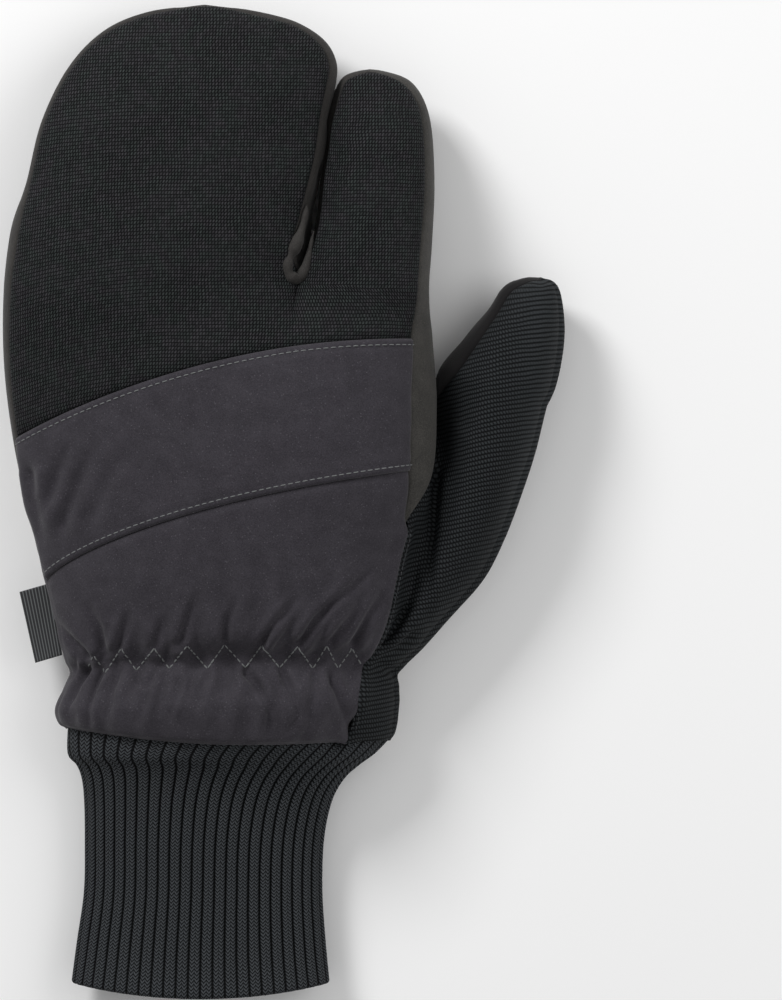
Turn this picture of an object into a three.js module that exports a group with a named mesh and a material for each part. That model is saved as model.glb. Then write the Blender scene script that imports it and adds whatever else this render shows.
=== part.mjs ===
// A padded three-finger winter mitt (a lobster claw mitt) for the left hand, lying on its palm.
// X runs from the little finger to the thumb, Y from the knit cuff to the fingertips and Z up from
// the surface that it lies on. Sizes are in millimetres.
//
// The mitt is one closed skin of sewn panels. Its outline is a set of edges, each a short table of
// sections. Rows of points run across the back and the palm from edge to edge, side walls join the
// two, and every panel is then the part of the skin between its seams, given a wall and a seam gap.
import * as THREE from "three";

// Driving sizes
const PALM_LENGTH = 142; // from the cuff seam to the fork between the two finger parts
const MITTEN_LENGTH = 87; // from the fork to the tip of the part for three fingers
const INDEX_LENGTH = 67; // from the fork to the tip of the part for the index finger
const THUMB_LENGTH = 40; // from the thumb's root to its tip
const HAND_WIDTH = 136; // across the knuckles
const THUMB_SPREAD = 40; // how far the thumb stands out past the hand
const HAND_THICKNESS = 45; // over the padded knuckles
const THUMB_THICKNESS = 30;
const PADDED_WALL = 3; // shell fabric or leather, with its wadding and lining
const CUFF_LENGTH = 80;
const CUFF_WAIST = 75; // the cuff's width where it is narrowest
const CUFF_THICKNESS = 21; // of the cuff lying flat
const CUFF_WALL = 2.4;
const RIB_COUNT = 46;
const RIB_DEPTH = 0.8;
const GATHER_COUNT = 10; // folds drawn in by the elastic at the wrist
const GATHER_DEPTH = 1.7;
const GATHER_LEAN = 0.04; // how much the folds lean over, from one row to the next
const GATHER_ENDS = 0.4; // the lower, the closer to the side seams the folds run
const LABEL_WIDTH = 9.5;
const LABEL_LENGTH = 22;
const LABEL_THICKNESS = 1.2;
const SEAM_GAP = 0.3;
const FOLD_SHARE = 0.3; // a wall is thinned where its inside would shrink to less than this share

// How many strips each part of the skin is cut into, across it
const MITTEN_STRIPS = 28;
const INDEX_STRIPS = 12;
const PALM_MITTEN_STRIPS = 10;
const PALM_INDEX_STRIPS = 5;
const PALM_THUMB_STRIPS = 5;
const THUMB_STRIPS = 9;
const WALL_STRIPS = 4;

// Colours
const COLOURS = {
  knit: 0x1c1f1e,
  softshell: 0x38363b,
  gusset: 0x2c2b28,
  leather: 0xe9e5e1,
  nubuck: 0x1b1a1a,
  fleece: 0x23272c,
  rib: 0x25282a,
  label: 0x3a3b3c,
};

// Curves through evenly numbered sections
const mix = (a, b, t) => a + (b - a) * t;

function smooth(a, b, c, d, t) {
  return 0.5 * (2 * b + (c - a) * t + (2 * a - 5 * b + 4 * c - d) * t * t + (3 * b - a - 3 * c + d) * t ** 3);
}

function column(table, name, s) {
  const last = table.length - 1;
  const i = Math.min(Math.floor(s), last - 1);
  const value = (k) => table[Math.max(0, Math.min(last, k))][name];
  return smooth(value(i - 1), value(i), value(i + 1), value(i + 2), s - i);
}

// An edge of the mitt, between the back's seam and the palm's. x and y place its outline, backIn
// and palmIn say how far inside the outline the two seams lie, and backUp and palmUp how high.
// y counts from 0 at the cuff seam to 1 at the root of the finger and 2 at its tip.
function makeEdge(table, { side, root, finger, middle = 0, width, thickness }) {
  const outline = (s) => {
    const y = column(table, "y", s);
    return new THREE.Vector2(
      middle + column(table, "x", s) * width,
      y <= 1 ? y * root : root + (y - 1) * finger,
    );
  };
  const outward = (s) => {
    if (s >= table.length - 1) return new THREE.Vector2(0, 1);
    const step = 0.05;
    const a = outline(Math.max(0, s - step));
    const b = outline(Math.min(table.length - 1, s + step));
    const along = b.sub(a).normalize();
    return new THREE.Vector2(along.y * side, -along.x * side);
  };
  const at = (s, inset, height) => {
    const p = outline(s).addScaledVector(outward(s), -inset * thickness);
    return new THREE.Vector3(p.x, p.y, height * thickness);
  };
  const back = (s) => at(s, column(table, "backIn", s), column(table, "backUp", s));
  const palm = (s) => at(s, column(table, "palmIn", s), column(table, "palmUp", s));
  const rim = (s) => at(s, 0, mix(column(table, "palmUp", s), column(table, "backUp", s), 0.55));
  // A point of the side wall: t is 0 at the back's seam, half at the outline and 1 at the palm's seam.
  const wall = (sBack, sPalm, t) => {
    const s = mix(sBack, sPalm, t);
    return new THREE.Vector3()
      .addScaledVector(back(s), (1 - t) * (1 - 2 * t))
      .addScaledVector(rim(s), 4 * t * (1 - t))
      .addScaledVector(palm(s), t * (2 * t - 1));
  };
  return { outline, outward, back, palm, rim, wall };
}

const LITTLE_FINGER_EDGE = [
  { x: -0.359, y: 0.018, backIn: 0.01, backUp: 0.34, palmIn: 0.1, palmUp: 0.06 }, // cuff seam
  { x: -0.375, y: 0.066, backIn: 0.01, backUp: 0.38, palmIn: 0.1, palmUp: 0.07 },
  { x: -0.345, y: 0.145, backIn: 0.01, backUp: 0.34, palmIn: 0.08, palmUp: 0.08 }, // elastic
  { x: -0.372, y: 0.249, backIn: 0.01, backUp: 0.4, palmIn: 0.09, palmUp: 0.09 },
  { x: -0.4, y: 0.348, backIn: 0.01, backUp: 0.43, palmIn: 0.1, palmUp: 0.1 },
  { x: -0.439, y: 0.496, backIn: 0.01, backUp: 0.46, palmIn: 0.1, palmUp: 0.11 },
  { x: -0.476, y: 0.659, backIn: 0.03, backUp: 0.5, palmIn: 0.1, palmUp: 0.12 }, // band
  { x: -0.497, y: 0.815, backIn: 0.04, backUp: 0.52, palmIn: 0.1, palmUp: 0.12 },
  { x: -0.497, y: 0.98, backIn: 0.045, backUp: 0.53, palmIn: 0.1, palmUp: 0.12 }, // fork
  { x: -0.48, y: 1.201, backIn: 0.055, backUp: 0.52, palmIn: 0.1, palmUp: 0.12 },
  { x: -0.444, y: 1.363, backIn: 0.02, backUp: 0.48, palmIn: 0.1, palmUp: 0.12 },
  { x: -0.407, y: 1.586, backIn: 0.01, backUp: 0.44, palmIn: 0.11, palmUp: 0.12 },
  { x: -0.345, y: 1.781, backIn: 0.01, backUp: 0.4, palmIn: 0.12, palmUp: 0.12 },
  { x: -0.264, y: 1.91, backIn: 0.01, backUp: 0.36, palmIn: 0.13, palmUp: 0.12 },
  { x: -0.161, y: 1.978, backIn: 0.015, backUp: 0.34, palmIn: 0.14, palmUp: 0.12 },
  { x: -0.034, y: 2, backIn: 0.015, backUp: 0.33, palmIn: 0.14, palmUp: 0.12 }, // tip
];

const MITTEN_SLIT_EDGE = [
  { x: 0.184, y: 1, backIn: 0, backUp: 0.66, palmIn: 0, palmUp: 0.14 }, // fork
  { x: 0.195, y: 1.112, backIn: 0.11, backUp: 0.72, palmIn: 0.035, palmUp: 0.13 },
  { x: 0.209, y: 1.219, backIn: 0.1, backUp: 0.7, palmIn: 0.05, palmUp: 0.13 },
  { x: 0.223, y: 1.342, backIn: 0.083, backUp: 0.66, palmIn: 0.07, palmUp: 0.12 },
  { x: 0.241, y: 1.471, backIn: 0.075, backUp: 0.6, palmIn: 0.09, palmUp: 0.12 },
  { x: 0.246, y: 1.59, backIn: 0.044, backUp: 0.54, palmIn: 0.09, palmUp: 0.12 },
  { x: 0.262, y: 1.701, backIn: 0.038, backUp: 0.49, palmIn: 0.1, palmUp: 0.12 },
  { x: 0.269, y: 1.788, backIn: 0.04, backUp: 0.44, palmIn: 0.11, palmUp: 0.12 },
  { x: 0.241, y: 1.871, backIn: 0.028, backUp: 0.4, palmIn: 0.12, palmUp: 0.12 },
  { x: 0.175, y: 1.935, backIn: 0.026, backUp: 0.37, palmIn: 0.13, palmUp: 0.12 },
  { x: 0.074, y: 1.978, backIn: 0.02, backUp: 0.34, palmIn: 0.14, palmUp: 0.12 },
  { x: -0.034, y: 2, backIn: 0.015, backUp: 0.33, palmIn: 0.14, palmUp: 0.12 }, // tip
];

const INDEX_SLIT_EDGE = [
  { x: 0.184, y: 1, backIn: 0, backUp: 0.66, palmIn: 0, palmUp: 0.14 }, // fork
  { x: 0.218, y: 1.144, backIn: 0.004, backUp: 0.68, palmIn: 0.035, palmUp: 0.135 },
  { x: 0.236, y: 1.284, backIn: 0.004, backUp: 0.64, palmIn: 0.05, palmUp: 0.14 },
  { x: 0.245, y: 1.442, backIn: 0.004, backUp: 0.6, palmIn: 0.06, palmUp: 0.14 },
  { x: 0.253, y: 1.609, backIn: 0.004, backUp: 0.54, palmIn: 0.07, palmUp: 0.14 },
  { x: 0.257, y: 1.763, backIn: 0.006, backUp: 0.48, palmIn: 0.08, palmUp: 0.14 },
  { x: 0.271, y: 1.888, backIn: 0.01, backUp: 0.43, palmIn: 0.09, palmUp: 0.14 },
  { x: 0.29, y: 1.967, backIn: 0.015, backUp: 0.4, palmIn: 0.1, palmUp: 0.14 },
  { x: 0.345, y: 2, backIn: 0.02, backUp: 0.38, palmIn: 0.11, palmUp: 0.14 }, // tip
];

// Up to the fourth section the back is sewn straight to the thumb's panel, and the wall has no width.
const INDEX_EDGE = [
  { x: 0.287, y: -0.009, backIn: 0, backUp: 0.52, palmIn: 0, palmUp: 0.52 }, // cuff seam
  { x: 0.315, y: 0.081, backIn: 0, backUp: 0.6, palmIn: 0, palmUp: 0.6 },
  { x: 0.331, y: 0.165, backIn: 0, backUp: 0.54, palmIn: 0, palmUp: 0.54 }, // elastic
  { x: 0.375, y: 0.258, backIn: 0, backUp: 0.64, palmIn: 0, palmUp: 0.64 },
  { x: 0.423, y: 0.452, backIn: 0, backUp: 0.7, palmIn: 0, palmUp: 0.7 },
  { x: 0.487, y: 0.575, backIn: 0.155, backUp: 0.78, palmIn: 0.04, palmUp: 0.5 },
  { x: 0.501, y: 0.731, backIn: 0.185, backUp: 0.8, palmIn: 0.05, palmUp: 0.22 }, // thumb's root
  { x: 0.492, y: 0.881, backIn: 0.147, backUp: 0.76, palmIn: 0.09, palmUp: 0.15 }, // band
  { x: 0.485, y: 0.98, backIn: 0.078, backUp: 0.7, palmIn: 0.1, palmUp: 0.14 }, // fork
  { x: 0.492, y: 1.191, backIn: 0.075, backUp: 0.64, palmIn: 0.1, palmUp: 0.14 },
  { x: 0.497, y: 1.447, backIn: 0.064, backUp: 0.59, palmIn: 0.1, palmUp: 0.14 },
  { x: 0.492, y: 1.693, backIn: 0.06, backUp: 0.52, palmIn: 0.1, palmUp: 0.14 },
  { x: 0.476, y: 1.842, backIn: 0.05, backUp: 0.46, palmIn: 0.1, palmUp: 0.14 },
  { x: 0.444, y: 1.944, backIn: 0.045, backUp: 0.42, palmIn: 0.11, palmUp: 0.14 },
  { x: 0.398, y: 1.988, backIn: 0.03, backUp: 0.39, palmIn: 0.11, palmUp: 0.14 },
  { x: 0.345, y: 2, backIn: 0.02, backUp: 0.38, palmIn: 0.11, palmUp: 0.14 }, // tip
];

const handSizes = { root: PALM_LENGTH, width: HAND_WIDTH, thickness: HAND_THICKNESS };
const littleFingerEdge = makeEdge(LITTLE_FINGER_EDGE, { side: -1, finger: MITTEN_LENGTH, ...handSizes });
const mittenSlitEdge = makeEdge(MITTEN_SLIT_EDGE, { side: 1, finger: MITTEN_LENGTH, ...handSizes });
const indexSlitEdge = makeEdge(INDEX_SLIT_EDGE, { side: -1, finger: INDEX_LENGTH, ...handSizes });
const indexEdge = makeEdge(INDEX_EDGE, { side: 1, finger: INDEX_LENGTH, ...handSizes });

const THUMB_ROOT_SECTION = 6; // of the index edge, and the row of the back and the palm there
const thumbRoot = indexEdge.palm(THUMB_ROOT_SECTION);
const rootX = (thumbRoot.x - HAND_WIDTH / 2) / THUMB_SPREAD;
const rootUp = thumbRoot.z / THUMB_THICKNESS;

// The thumb's tables count x from the hand's widest side, out to the thumb's widest point.
const THUMB_INNER_EDGE = [
  { x: rootX, y: 1, backIn: 0, backUp: rootUp, palmIn: 0, palmUp: rootUp }, // root
  { x: 0.02, y: 1.287, backIn: 0.16, backUp: 0.7, palmIn: 0.08, palmUp: 0.24 },
  { x: 0.208, y: 1.519, backIn: 0.13, backUp: 0.7, palmIn: 0.1, palmUp: 0.22 },
  { x: 0.38, y: 1.729, backIn: 0.1, backUp: 0.65, palmIn: 0.11, palmUp: 0.2 },
  { x: 0.514, y: 1.891, backIn: 0.08, backUp: 0.58, palmIn: 0.12, palmUp: 0.2 },
  { x: 0.647, y: 1.961, backIn: 0.05, backUp: 0.54, palmIn: 0.12, palmUp: 0.2 },
  { x: 0.812, y: 2, backIn: 0.03, backUp: 0.5, palmIn: 0.12, palmUp: 0.2 }, // tip
];

const THUMB_OUTER_EDGE = [
  { x: -0.31, y: -0.009, backIn: 0.06, backUp: 0.5, palmIn: 0.15, palmUp: 0.1 }, // cuff seam
  { x: -0.294, y: 0.105, backIn: 0.06, backUp: 0.54, palmIn: 0.18, palmUp: 0.1 },
  { x: -0.271, y: 0.196, backIn: 0.06, backUp: 0.5, palmIn: 0.19, palmUp: 0.1 }, // elastic
  { x: -0.004, y: 0.322, backIn: 0.06, backUp: 0.52, palmIn: 0.2, palmUp: 0.1 },
  { x: 0.333, y: 0.467, backIn: 0.06, backUp: 0.54, palmIn: 0.24, palmUp: 0.1 },
  { x: 0.514, y: 0.596, backIn: 0.06, backUp: 0.56, palmIn: 0.25, palmUp: 0.1 },
  { x: 0.663, y: 0.75, backIn: 0.06, backUp: 0.58, palmIn: 0.24, palmUp: 0.11 },
  { x: 0.812, y: 0.925, backIn: 0.06, backUp: 0.58, palmIn: 0.22, palmUp: 0.12 },
  { x: 0.929, y: 1.14, backIn: 0.06, backUp: 0.57, palmIn: 0.19, palmUp: 0.14 },
  { x: 0.992, y: 1.465, backIn: 0.06, backUp: 0.56, palmIn: 0.16, palmUp: 0.16 },
  { x: 0.992, y: 1.736, backIn: 0.05, backUp: 0.54, palmIn: 0.14, palmUp: 0.18 },
  { x: 0.937, y: 1.922, backIn: 0.04, backUp: 0.52, palmIn: 0.13, palmUp: 0.2 },
  { x: 0.812, y: 2, backIn: 0.03, backUp: 0.5, palmIn: 0.12, palmUp: 0.2 }, // tip
];

const thumbSizes = {
  root: thumbRoot.y,
  finger: THUMB_LENGTH,
  middle: HAND_WIDTH / 2,
  width: THUMB_SPREAD,
  thickness: THUMB_THICKNESS,
};
const thumbInnerEdge = makeEdge(THUMB_INNER_EDGE, { side: -1, ...thumbSizes });
const thumbOuterEdge = makeEdge(THUMB_OUTER_EDGE, { side: 1, ...thumbSizes });

// Rows across the back, from the cuff seam to the fork. little and index say where a row starts and
// ends on the edges, bow how far it arches towards the fingers and lean to which side, crown how
// high its middle is, fork how deep the valley between the fingers has grown, and gather how far
// the elastic's folds stand out.
const BACK_ROWS = [
  { little: 0, index: 0, bow: -0.02, lean: 1, crown: 0.72, fork: 0, gather: 0.5 }, // cuff seam
  { little: 1, index: 1, bow: 0, lean: 1, crown: 0.82, fork: 0, gather: 1 },
  { little: 2, index: 2, bow: 0.013, lean: 1, crown: 0.72, fork: 0, gather: 0.8 }, // elastic
  { little: 2.5, index: 3, bow: 0.013, lean: 1, crown: 0.85, fork: 0, gather: 1 },
  { little: 3.2, index: 4, bow: 0.03, lean: 0.85, crown: 0.94, fork: 0, gather: 0.35 },
  { little: 4, index: 5, bow: 0.05, lean: 0.7, crown: 0.99, fork: 0, gather: 0 }, // band's lower seam
  { little: 5.1, index: 6, bow: 0.057, lean: 0.8, crown: 1, fork: 0, gather: 0 },
  { little: 6, index: 7, bow: 0.059, lean: 0.95, crown: 0.98, fork: 0.06, gather: 0 }, // band's upper seam
  { little: 7, index: 7.5, bow: 0.044, lean: 1, crown: 0.94, fork: 0.3, gather: 0 },
  { little: 8, index: 8, bow: 0.028, lean: 1, crown: 0.9, fork: 1, gather: 0 }, // fork
];
const BAND_LOWER_ROW = 5;
const BAND_UPPER_ROW = 7;
const FORK_ROW = 9;
const FORK_SHARE = MITTEN_STRIPS / (MITTEN_STRIPS + INDEX_STRIPS); // where the fork is, across the back

// Rows of the two finger parts, from the fork to the tip: where each starts and ends, and its crown.
const MITTEN_ROWS = [
  { outer: 8, slit: 0, crown: 0.9, rise: 0 },
  { outer: 8.6, slit: 1, crown: 0.89, rise: 0 },
  { outer: 9.2, slit: 2, crown: 0.87, rise: 0 },
  { outer: 9.8, slit: 3, crown: 0.84, rise: 0 },
  { outer: 10.4, slit: 4, crown: 0.8, rise: 0 },
  { outer: 11, slit: 5, crown: 0.75, rise: 0 },
  { outer: 11.6, slit: 6, crown: 0.69, rise: 0 },
  { outer: 12.2, slit: 7, crown: 0.62, rise: 0 },
  { outer: 13, slit: 8, crown: 0.53, rise: 0.01 },
  { outer: 13.7, slit: 9, crown: 0.45, rise: 0.018 },
  { outer: 14.4, slit: 10, crown: 0.38, rise: 0.018 },
  { outer: 15, slit: 11, crown: 0.33, rise: 0 }, // tip
];
const INDEX_ROWS = [
  { outer: 8, slit: 0, crown: 0.9, rise: 0 },
  { outer: 9, slit: 1, crown: 0.86, rise: 0 },
  { outer: 9.7, slit: 2, crown: 0.83, rise: 0 },
  { outer: 10.4, slit: 3, crown: 0.79, rise: 0 },
  { outer: 11, slit: 4, crown: 0.73, rise: 0 },
  { outer: 11.8, slit: 5, crown: 0.64, rise: 0 },
  { outer: 12.6, slit: 6, crown: 0.54, rise: 0 },
  { outer: 13.6, slit: 7, crown: 0.45, rise: 0.012 },
  { outer: 15, slit: 8, crown: 0.38, rise: 0 }, // tip
];

// Rows of the thumb's back, from the cuff seam to the tip. Each starts on the hand, falls to a
// valley at the share dipAt of its length, and rises to the thumb's crown, the more gently the
// softer it is.
const THUMB_ROWS = [
  { crown: 0.76, dip: 0.78, dipAt: 0, soft: 0 }, // cuff seam
  { crown: 0.87, dip: 0.9, dipAt: 0, soft: 0 },
  { crown: 0.78, dip: 0.81, dipAt: 0, soft: 0 }, // elastic
  { crown: 0.84, dip: 0.8, dipAt: 0.35, soft: 0.5 },
  { crown: 0.92, dip: 0.74, dipAt: 0.26, soft: 1 },
  { crown: 0.97, dip: 0.68, dipAt: 0.1, soft: 1 },
  { crown: 1, dip: 0.4, dipAt: 0, soft: 1 }, // root
  { crown: 1, dip: 0.7, dipAt: 0, soft: 0.5 },
  { crown: 0.95, dip: 0.7, dipAt: 0, soft: 0.1 },
  { crown: 0.87, dip: 0.65, dipAt: 0, soft: 0 },
  { crown: 0.76, dip: 0.58, dipAt: 0, soft: 0 },
  { crown: 0.63, dip: 0.54, dipAt: 0, soft: 0 },
  { crown: 0.5, dip: 0.5, dipAt: 0, soft: 0 }, // tip
];

// Rows across the palm. little says where each starts, web how high it stands where the thumb
// leaves the index finger, and fork how far the palm has risen to the fork between the fingers.
const PALM_ROWS = [
  { little: 0, web: 0, fork: 0 }, // cuff seam
  { little: 1, web: 0, fork: 0 },
  { little: 2, web: 0, fork: 0 }, // elastic
  { little: 3.2, web: 0, fork: 0 },
  { little: 4.25, web: 0.01, fork: 0 },
  { little: 5.13, web: 0.06, fork: 0 },
  { little: 6.15, web: 0.22, fork: 0 }, // thumb's root, and the flexing strip's lower seam
  { little: 7.33, web: 0, fork: 0 }, // flexing strip's upper seam
  { little: 7.8, web: 0, fork: 0.35 }, // lower seam of the fingertip patches
  { little: 8.07, web: 0, fork: 1 }, // fork
];
const FLEX_ROW = 6;
const KNUCKLE_ROW = 7;
const PATCH_ROW = 8;
const PALM_FLAT = 0.45; // the share of the palm's width that lies flat

// The height of a padded section over the line between its two seams: 1 in the middle, 0 at each.
function dome(u) {
  return (1 - Math.abs(2 * u - 1) ** 2.5) ** 0.62;
}

// 1 at the far end of a palm section, falling to 0 where the palm lies flat.
function curl(u) {
  return Math.max(0, (u - 0.5 - PALM_FLAT / 2) / (0.5 - PALM_FLAT / 2)) ** 2;
}

// A point of a padded section between two seams, arched by rise and bowed towards the fingertips.
function domePoint(a, b, u, crown, bow, lean = 1) {
  const p = new THREE.Vector3().lerpVectors(a, b, u);
  const w = u ** lean;
  p.y += bow * 4 * w * (1 - w);
  p.z += (crown - mix(a.z, b.z, 0.5)) * dome(u);
  return p;
}

function gatherAt(u, r) {
  const ends = Math.sin(Math.PI * u) ** GATHER_ENDS;
  const amount = column(BACK_ROWS, "gather", r);
  return GATHER_DEPTH * amount * ends * Math.cos(2 * Math.PI * (GATHER_COUNT * u + GATHER_LEAN * r * r));
}

function backPoint(r, u) {
  const row = (name) => column(BACK_ROWS, name, r);
  const a = littleFingerEdge.back(row("little"));
  const b = indexEdge.back(row("index"));
  const bow = row("bow") * PALM_LENGTH;
  const crown = row("crown") * HAND_THICKNESS;
  const whole = domePoint(a, b, u, crown, bow, row("lean"));
  const parted = Math.max(0, row("fork"));
  if (parted > 0) {
    const fork = mittenSlitEdge.back(0);
    const middle = domePoint(a, b, FORK_SHARE, crown, bow, row("lean"));
    const valley = new THREE.Vector3().lerpVectors(middle, fork, parted ** 2);
    valley.z = fork.z;
    const forked =
      u <= FORK_SHARE
        ? domePoint(a, valley, u / FORK_SHARE, crown, 0)
        : domePoint(valley, b, (u - FORK_SHARE) / (1 - FORK_SHARE), crown, 0);
    whole.lerp(forked, parted);
  }
  whole.z += gatherAt(u, r);
  return whole;
}

function mittenPoint(r, u) {
  const row = (name) => column(MITTEN_ROWS, name, r);
  const a = littleFingerEdge.back(row("outer"));
  const b = mittenSlitEdge.back(row("slit"));
  return domePoint(a, b, u, row("crown") * HAND_THICKNESS, row("rise") * MITTEN_LENGTH);
}

function indexPoint(r, u) {
  const row = (name) => column(INDEX_ROWS, name, r);
  const a = indexSlitEdge.back(row("slit"));
  const b = indexEdge.back(row("outer"));
  return domePoint(a, b, u, row("crown") * HAND_THICKNESS, row("rise") * INDEX_LENGTH);
}

// Where the thumb's panel starts: along the hand's side up to the thumb's root, then along its own.
function thumbStart(r) {
  return r <= THUMB_ROOT_SECTION ? indexEdge.palm(r) : thumbInnerEdge.back(r - THUMB_ROOT_SECTION);
}

function thumbPoint(r, u) {
  const row = (name) => column(THUMB_ROWS, name, r);
  const a = thumbStart(r);
  const b = thumbOuterEdge.back(r);
  const dipAt = Math.max(0, row("dipAt"));
  const dip = row("dip") * THUMB_THICKNESS;
  const crown = row("crown") * THUMB_THICKNESS;
  const p = new THREE.Vector3().lerpVectors(a, b, u);
  if (u < dipAt) {
    p.z = mix(a.z, dip, (1 - Math.cos((Math.PI * u) / dipAt)) / 2);
  } else {
    const w = (u - dipAt) / (1 - dipAt);
    const low = dipAt > 0 ? dip : a.z;
    const rise = w < 0.5 ? mix(dome(w), (1 - Math.cos(2 * Math.PI * w)) / 2, row("soft")) : dome(w);
    p.z = mix(low, b.z, w) + Math.max(0, crown - mix(low, b.z, 0.5)) * rise;
  }
  return p;
}

// Where the index finger's part of the palm meets the thumb's.
function webPoint(r) {
  if (r === THUMB_ROOT_SECTION) return thumbRoot.clone();
  const p = indexEdge.outline(r);
  return new THREE.Vector3(p.x, p.y, column(PALM_ROWS, "web", r) * HAND_THICKNESS);
}

function palmSection(a, b, u) {
  const p = new THREE.Vector3().lerpVectors(a, b, u);
  p.z = a.z * curl(1 - u) + b.z * curl(u);
  return p;
}

function palmPoint(r, u) {
  const row = (name) => column(PALM_ROWS, name, r);
  const a = littleFingerEdge.palm(row("little"));
  const b = r <= THUMB_ROOT_SECTION ? webPoint(r) : indexEdge.palm(column(BACK_ROWS, "index", r));
  const whole = palmSection(a, b, u);
  const risen = Math.max(0, row("fork"));
  if (risen > 0) {
    const fork = mittenSlitEdge.palm(0);
    const middle = new THREE.Vector3().lerpVectors(a, b, FORK_SHARE);
    const low = new THREE.Vector3().lerpVectors(middle, fork, risen ** 2);
    low.z = fork.z;
    const forked =
      u <= FORK_SHARE ? palmSection(a, low, u / FORK_SHARE) : palmSection(low, b, (u - FORK_SHARE) / (1 - FORK_SHARE));
    whole.lerp(forked, risen);
  }
  return whole;
}

const palmThumbPoint = (r, u) => palmSection(webPoint(r), thumbOuterEdge.palm(r), u);

function palmMittenPoint(r, u) {
  const row = (name) => column(MITTEN_ROWS, name, r);
  return palmSection(littleFingerEdge.palm(palmOuter(r)), mittenSlitEdge.palm(row("slit")), u);
}

function palmIndexPoint(r, u) {
  const row = (name) => column(INDEX_ROWS, name, r);
  return palmSection(indexSlitEdge.palm(row("slit")), indexEdge.palm(row("outer")), u);
}

function palmThumbTipPoint(r, u) {
  return palmSection(thumbInnerEdge.palm(r - THUMB_ROOT_SECTION), thumbOuterEdge.palm(r), u);
}

// The skin: every corner once, and every four-sided patch with the name of its panel
const SAME_POINT = 0.0023; // corners this close together are one

class Skin {
  points = [];
  patches = [];
  #index = new Map();

  corner(p) {
    const key = [p.x, p.y, p.z].map((v) => Math.round(v / SAME_POINT)).join();
    if (!this.#index.has(key)) {
      this.#index.set(key, this.points.length);
      this.points.push(p);
    }
    return this.#index.get(key);
  }

  // point(row, share) over a range of rows and strips, with the back's sheets facing up.
  sheet(panel, point, [firstRow, lastRow], [firstStrip, lastStrip, strips], facing = 1) {
    const grid = [];
    for (let r = firstRow; r <= lastRow; r++) {
      const row = [];
      for (let c = firstStrip; c <= lastStrip; c++) row.push(this.corner(point(r, c / strips)));
      grid.push(row);
    }
    for (let i = 0; i + 1 < grid.length; i++)
      for (let j = 0; j + 1 < grid[i].length; j++) {
        const ring = [grid[i][j], grid[i][j + 1], grid[i + 1][j + 1], grid[i + 1][j]];
        const corners = ring.filter((v, k) => v !== ring[(k + 1) % 4]);
        if (corners.length > 2) this.patches.push({ panel, corners: facing > 0 ? corners : corners.reverse() });
      }
  }

  triangles(patch) {
    const [a, b, c, d] = patch.corners;
    return d === undefined ? [[a, b, c]] : [[a, b, c], [a, c, d]];
  }

  // Each corner's outward direction, with every panel round it counted by its angle there
  normals() {
    const sums = this.points.map(() => new THREE.Vector3());
    for (const patch of this.patches)
      for (const t of this.triangles(patch))
        for (const k of [0, 1, 2]) {
          const a = this.points[t[k]];
          const ab = this.points[t[(k + 1) % 3]].clone().sub(a);
          const ac = this.points[t[(k + 2) % 3]].clone().sub(a);
          const n = new THREE.Vector3().crossVectors(ab, ac).normalize();
          sums[t[k]].addScaledVector(n, ab.angleTo(ac));
        }
    return sums.map((n) => n.normalize());
  }
}

const skin = new Skin();

// Side walls first, so that the seams keep the edges' own points
function sideWall(panel, edge, rows, sBack, sPalm, facing, strips = WALL_STRIPS) {
  skin.sheet(panel, (r, t) => edge.wall(sBack(r), sPalm(r), t), rows, [0, strips, strips], facing);
}
const backRow = (name) => (r) => column(BACK_ROWS, name, r);
const mittenRow = (name) => (r) => column(MITTEN_ROWS, name, r);
const indexRow = (name) => (r) => column(INDEX_ROWS, name, r);
const palmLittle = (r) => column(PALM_ROWS, "little", r);
const palmOuter = (r) => (r === 0 ? palmLittle(FORK_ROW) : mittenRow("outer")(r));
const mittenTip = MITTEN_ROWS.length - 1;
const indexTip = INDEX_ROWS.length - 1;
const thumbTip = THUMB_ROWS.length - 1;
const backStrips = MITTEN_STRIPS + INDEX_STRIPS;

sideWall("gauntlet", littleFingerEdge, [0, BAND_LOWER_ROW], backRow("little"), palmLittle, -1);
sideWall("outer_side_wall", littleFingerEdge, [BAND_LOWER_ROW, FORK_ROW], backRow("little"), palmLittle, -1);
sideWall("outer_side_wall", littleFingerEdge, [0, mittenTip], mittenRow("outer"), palmOuter, -1);
sideWall("finger_gusset", mittenSlitEdge, [0, mittenTip], mittenRow("slit"), mittenRow("slit"), 1);
sideWall("finger_gusset", indexSlitEdge, [0, indexTip], indexRow("slit"), indexRow("slit"), -1);
sideWall("index_side_wall", indexEdge, [4, FORK_ROW], backRow("index"), backRow("index"), 1);
sideWall("index_side_wall", indexEdge, [0, indexTip], indexRow("outer"), indexRow("outer"), 1);
const thumbSection = (r) => r - THUMB_ROOT_SECTION;
sideWall("thumb_patch", thumbInnerEdge, [THUMB_ROOT_SECTION, thumbTip], thumbSection, thumbSection, -1);
sideWall("thumb_back", thumbOuterEdge, [0, thumbTip], (r) => r, (r) => r, 1);

// Back of the hand, the two finger parts and the thumb
const wholeBack = [0, backStrips, backStrips];
skin.sheet("gauntlet", backPoint, [0, BAND_LOWER_ROW], wholeBack);
skin.sheet("knuckle_band", backPoint, [BAND_LOWER_ROW, BAND_UPPER_ROW], wholeBack);
skin.sheet("hand_back", backPoint, [BAND_UPPER_ROW, FORK_ROW], wholeBack);
skin.sheet("hand_back", mittenPoint, [0, mittenTip], [0, MITTEN_STRIPS, MITTEN_STRIPS]);
skin.sheet("hand_back", indexPoint, [0, indexTip], [0, INDEX_STRIPS, INDEX_STRIPS]);
skin.sheet("thumb_back", thumbPoint, [0, thumbTip], [0, THUMB_STRIPS, THUMB_STRIPS]);

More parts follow.
